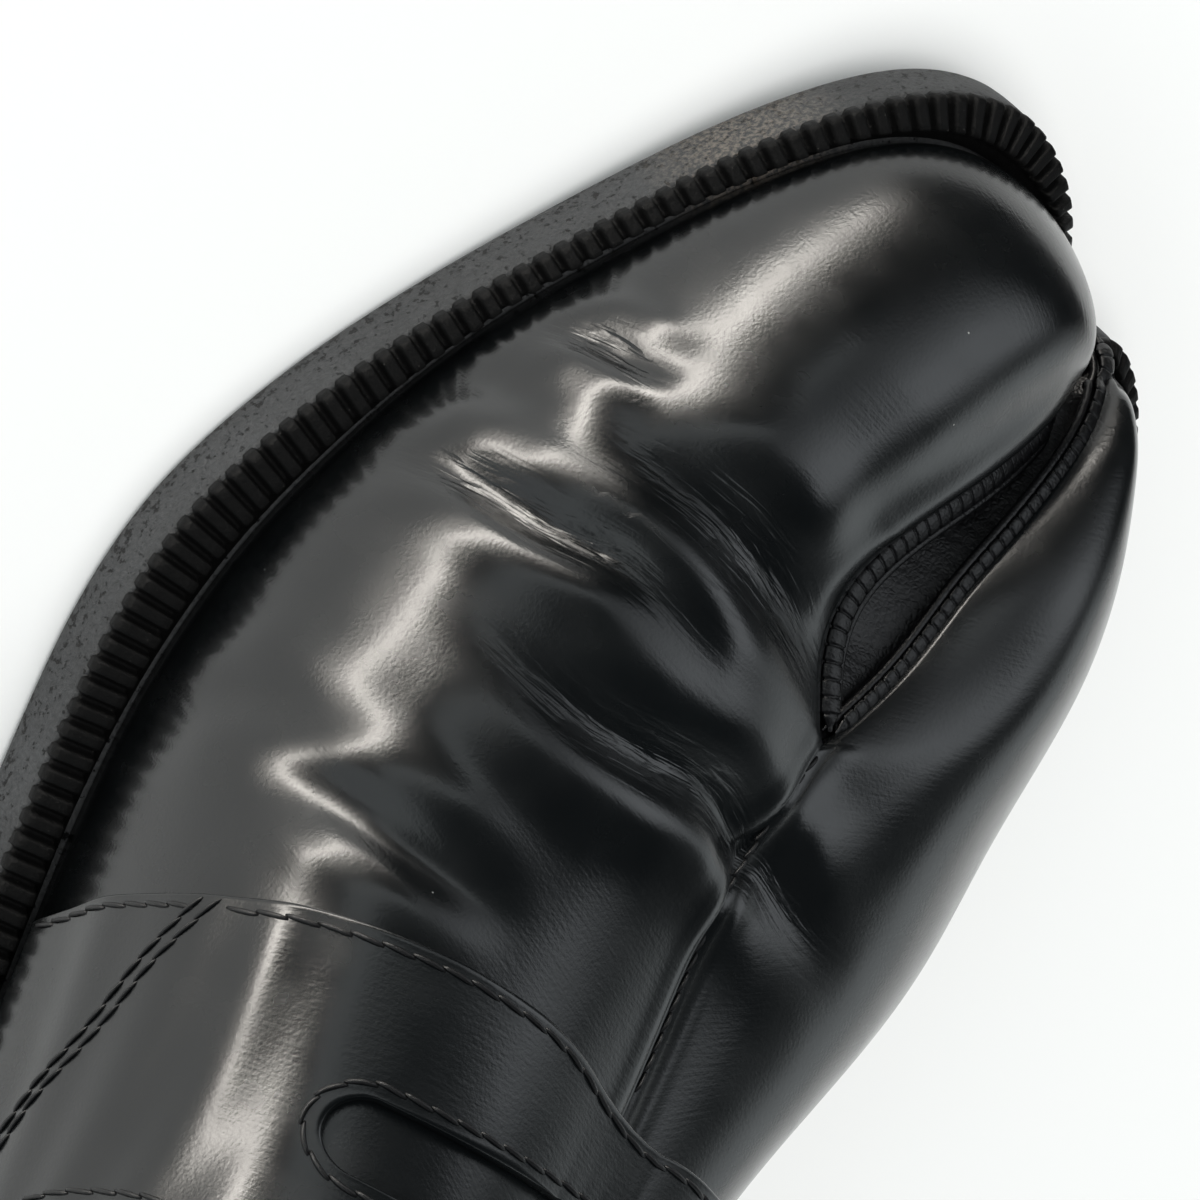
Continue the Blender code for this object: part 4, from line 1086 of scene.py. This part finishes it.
left_marks, right_marks = (np.arange(WELT_FROM, side["last"] + 1, 0.005) for side in (LATERAL, MEDIAL))
marks = np.r_[left_marks, right_marks[::-1]]
on_right = np.arange(len(marks)) >= len(left_marks)
run = along_line(strip_lines(marks, on_right)[0])[1]
at = np.arange(0, run[-1], RIB_PITCH / 12)
pick = np.searchsorted(run, at).clip(0, len(run) - 1)
rim, foot, out = strip_lines(marks[pick], on_right[pick])
width = np.linalg.norm(foot - rim, axis=1)
into = unit(foot - rim)
narrow = np.clip(width / 6.0, 0.25, 1.0)
heading = unit(np.gradient(rim, axis=0))
base = lambda xy: sole_top(xy[:, 1]) + 0.15
outer_rise = WELT_OUTER_RISE * narrow
inner_rise = WELT_INNER_RISE * (0.1 + 0.9 * narrow)
some = np.arange(0, len(foot), LEAN_EVERY)
lean = overhang(foot[some], out[some], base(foot[some]) + inner_rise[some] + 0.6)
lean = np.interp(np.arange(len(foot)), some, lean)
top_line = foot + out * (lean + 0.35)[:, None]
# Where the strip is wide enough, the ribs stand square to the rim.
square = np.c_[-heading[:, 1], heading[:, 0]]
square *= np.sign((square * into).sum(1))[:, None]
passed = at + ((top_line - rim) * heading).sum(1)
order = np.argsort(passed)
depth = np.interp(at, passed[order], ((top_line - rim) * square).sum(1)[order])
even = np.clip((width - 4.4) / 1.0, 0, 1)[:, None]
top_line = top_line * (1 - even) + (rim + square * depth[:, None]) * even
into = unit(into * (1 - even) + square * even)
scalloped = np.where(on_right[pick], 0.0, np.clip((22.0 - marks[pick]) / 3.0, 0, 1))
tooth = 0.5 * np.tanh(3.0 * (np.cos(2 * np.pi * at / RIB_PITCH) + 0.45)) - 0.5
edge = rim + into * ((0.95 - scalloped * (0.5 + 0.65 * tooth)) * narrow)[:, None]
rib = RIB_DEPTH * tooth * (0.3 + 0.7 * even[:, 0]) * narrow
section = []
for share, up, ribbed in WELT_SIDE:
    spot = edge + (top_line - edge) * share
    crest = outer_rise + (inner_rise - outer_rise) * share
    section.append(np.c_[spot, base(spot) + np.maximum(crest * up + rib * ribbed, 0.0)])
section = np.stack(section, 1)
number = numbered(section)
caps = np.stack([number[0, ::-1], number[-1]])
welt = piece("ribbed_welt", section, [quads(np.c_[number, number[:, :1]]), caps], welt_black, "welt_leather")
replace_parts(welt, "welt")

# Stitching: waxed black thread, each stitch a short bow that dips into its two holes.
STITCH_RINGS = 8
STITCH_SIDES = 6
HEM = 1.35
thread, tree, shader, place = finish_of("waxed_thread", Roughness=0.45, IOR=1.5)
twist = add_node(tree, "TexNoise", Vector=place, Scale=1 / 0.0003, Detail=2.0)
dress(tree, shader, blend(tree, twist, "#040405", "#121213"), twist, 0.0001, 0.5)


def stitch_row(line, face, pitch, share, radius):
    """Points and faces of a row of stitches: every pitch along the line, a six-sided thread of the
    given share of the pitch, a little slanted, its middle raised and its ends sunk and thinned."""
    length = along_line(line)[1]
    starts = np.arange(0.3 * pitch, length[-1] - pitch, pitch)
    t = np.linspace(0, 1, STITCH_RINGS)
    place = starts[:, None] + pitch * (0.5 + share * (t - 0.5))[None]
    read = lambda table: np.stack([np.interp(place, length, table[:, i]) for i in range(3)], -1)
    spine, up = read(line), unit(read(face))
    side = np.cross(unit(np.gradient(spine, axis=1)), up)
    spine = spine + up * (radius * (1.1 * np.sin(np.pi * t) ** 0.6 - 0.45))[None, :, None]
    spine = spine + side * (1.5 * radius * (t - 0.5))[None, :, None]
    turn = np.linspace(0, 2 * np.pi, STITCH_SIDES + 1)[:-1, None]
    thin = radius * (0.6 + 0.4 * np.sin(np.pi * t) ** 0.5)
    ring = side[:, :, None] * np.cos(turn) + up[:, :, None] * np.sin(turn)
    tube = spine[:, :, None] + ring * thin[None, :, None, None]
    number = numbered(tube)
    wrap = np.concatenate([number, number[..., :1]], 2)
    faces = np.concatenate([quads(stitch) for stitch in wrap])
    caps = np.concatenate([number[:, 0, ::-1], number[:, -1]])
    return tube.reshape(-1, 3), faces, caps


def sewn_rows(name, rows, takes):
    """One piece of several stitch rows."""
    points, faces, caps, total = [], [], [], 0
    for row in rows:
        tube, sides, ends = stitch_row(*row)
        points.append(tube)
        faces.append(sides + total)
        caps.append(ends + total)
        total += len(tube)
    return piece(name, np.vstack(points), [np.vstack(faces), np.vstack(caps)], thread, takes)


def strap_row(s, f):
    """A stitch line on the strap's top, and its normals."""
    return on_strap(s, f, np.full(len(s), STRAP_GAP + 1.55))


def strap_s_f(path):
    """The strap's s and f along a path given by station and height of the outer half."""
    station, place = smooth(path, np.linspace(0, len(path) - 1, 160)).T
    front, rear = strap_edges(place)
    return place, (station - rear) / (front - rear)


SIDE_SEAMS = (
    ((9.80, 0.322), (8.95, 0.266), (8.36, 0.236), (7.67, 0.197), (6.92, 0.152), (6.4, 0.122)),
    ((9.90, 0.346), (9.07, 0.290), (8.51, 0.260), (7.80, 0.219), (6.90, 0.168), (6.45, 0.142)),
)
sweep = np.linspace(0.05, 1.95, 700)
wing = np.linspace(0.05, 0.335, 120)
saddle = np.linspace(0.345, 1.95, 600)
front, rear = (on_strap(sweep, np.full(700, at_f), np.zeros(700))[0] for at_f in (1.0, 0.0))
hem = lambda s: np.interp(s, sweep, HEM / np.linalg.norm(front - rear, axis=1))
rows = []
for s, f in ((wing, 1 - hem(wing)), (saddle, 1 - hem(saddle)), (sweep, hem(sweep))):
    rows.append((*strap_row(s, f), 3.2, 1.12, 0.25))
for path in SIDE_SEAMS:
    rows.append((*strap_row(*strap_s_f(path)), 3.0, 1.12, 0.22))
around = slot_line(HEM, 160)
rows.append((*strap_row(*np.vstack([around, around[:1]]).T), 3.0, 1.12, 0.26))
sewn_rows("strap_stitching", rows, "polished_leather")

k = np.linspace(11.62, 13.98, 400)
seam = edge_line(LATERAL, k)
near_seam = over_both(k[:, None], np.array([0.97, 1.0, 1.03])[None])
seam_face = normals(near_seam, 1.0)[:, 1]
sewn_rows("instep_stitching", [(seam - 0.15 * seam_face, seam_face, 2.2, 1.1, 0.24)], "polished_leather")

# Floor and light: a pale sheet under the shoe, a wide soft lamp overhead, a long window beside the toe
# and the outer side, and a bent card in front of the toe. Only the polish sees the window and the card.
# None of these is part of the shoe.
HALF_FLOOR = 4.0
WINDOW_FAR = 0.9
WINDOW_POWER = 23.0
CARD_FAR = 0.17
CARD_FROM, CARD_TO = 30, 112
CARD_TALL = 0.27
TOE_AT = 0.06


def set_up(name, points, faces, finish):
    """A mesh of the studio, in metres."""
    mesh = bpy.data.meshes.new(name)
    mesh.from_pydata(np.reshape(points, (-1, 3)).tolist(), [], faces)
    mesh.materials.append(finish)
    made = bpy.data.objects.new(name, mesh)
    bpy.context.scene.collection.objects.link(made)
    return made


def only_reflected(name, points, colour, tables):
    """A glowing sheet from a grid of points, seen in reflections only. Its light is the "glow" table;
    a "cover" table, if there is one, fades it out to clear."""
    finish = bpy.data.materials.new(name)
    finish.use_nodes = True
    tree = finish.node_tree
    tree.nodes.clear()
    read = {table: add_node(tree, "Attribute", {"attribute_name": table}).outputs["Fac"] for table in tables}
    light = add_node(tree, "Emission", Color=linear(colour), Strength=read["glow"])
    if "cover" in tables:
        light = add_node(tree, "MixShader", i0=read["cover"], i1=add_node(tree, "BsdfTransparent"), i2=light)
    add_node(tree, "OutputMaterial", Surface=light)
    made = set_up(name, points, quads(numbered(points)).tolist(), finish)
    for table, values in tables.items():
        tag(made.data, table, values)
    made.visible_camera = made.visible_diffuse = made.visible_shadow = False
    return made


paper = finish_of("pale_paper", Base_Color=linear("#f4f4f2"), Roughness=0.9)[0]
corners = [(x * HALF_FLOOR, y * HALF_FLOOR, 0) for x, y in ((-1, -1), (1, -1), (1, 1), (-1, 1))]
floor = set_up("floor", corners, [(0, 1, 2, 3)], paper)

degrees, high = np.meshgrid(np.linspace(100, 200, 60), np.linspace(-1.0, 34.0, 24), indexing="ij")
az, el = np.radians(degrees), np.radians(high)
shell = np.stack([np.cos(az) * np.cos(el), np.sin(az) * np.cos(el), np.sin(el)], -1) * WINDOW_FAR
shell[..., 1] += TOE_AT
above = high - np.interp(degrees, (115, 140, 160, 178), (1.5, 12.0, 15.5, 12.0))
spread = np.interp(degrees, (118, 142), (4.6, 3.6))
glow = bell(above / spread) + 0.07 * bell(above / 10.0) + 0.14 * bell((above + 12.5) / 3.2)
glow *= np.exp(-((np.abs(degrees - 152.0) / 40.0) ** 4))
window = only_reflected("window", shell, "#fffaf2", {"glow": WINDOW_POWER * glow})

degrees, tall = np.meshgrid(np.linspace(CARD_FROM, CARD_TO, 60), np.linspace(0, CARD_TALL, 40), indexing="ij")
az = np.radians(degrees)
bent = np.stack([CARD_FAR * np.cos(az), TOE_AT + CARD_FAR * np.sin(az), tall], -1)
glow = np.interp(tall, (0.08, 0.125, 0.20, 0.26), (0.02, 1.0, 1.0, 0.3))
glow *= np.interp(degrees, (70, 98), (1.4, 0.45))
cover = np.clip((degrees - CARD_FROM) / 18, 0, 1) * np.clip((CARD_TO - degrees) / 8, 0, 1)
cover *= np.clip((CARD_TALL - tall) / 0.05, 0, 1)
card = only_reflected("toe_card", bent, "#f4faff", {"glow": glow, "cover": cover})

overhead = bpy.data.objects.new("overhead", bpy.data.lights.new("overhead", "AREA"))
overhead.data.shape = "DISK"
overhead.data.size = 2.2
overhead.data.energy = 42.0
overhead.location = (-0.2, 0.1, 2.0)
overhead.visible_glossy = False
bpy.context.scene.collection.objects.link(overhead)

# The room: pale low down, dark overhead, and darker from lower down on the inner side.
room = bpy.data.worlds.new("room")
room.use_nodes = True
bpy.context.scene.world = room
tree = room.node_tree
tree.nodes.clear()
direction = add_node(tree, "TexCoord").outputs["Generated"]
tilted = add_node(tree, "VectorMath", {"operation": "DOT_PRODUCT"}, i0=direction, i1=(0.15, 0.0, 1.0))
inner = reckon(tree, "MAXIMUM", add_node(tree, "SeparateXYZ", Vector=direction), 0.0)
height = reckon(tree, "MULTIPLY_ADD", inner, 0.2, tilted.outputs["Value"])
ramp = add_node(tree, "ValToRGB", Fac=height)
ramp.color_ramp.interpolation = "EASE"
ramp.color_ramp.elements[0].position = 0.0
ramp.color_ramp.elements[0].color = (0.70, 0.75, 0.77, 1.0)
ramp.color_ramp.elements[1].position = 1.0
ramp.color_ramp.elements[1].color = (0.02, 0.022, 0.024, 1.0)
for position, value in ((0.55, 0.9), (0.74, 0.1)):
    ramp.color_ramp.elements.new(position).color = (0.93 * value, value, 1.02 * value, 1.0)
add_node(tree, "OutputWorld", Surface=add_node(tree, "Background", Color=ramp, Strength=1.0))
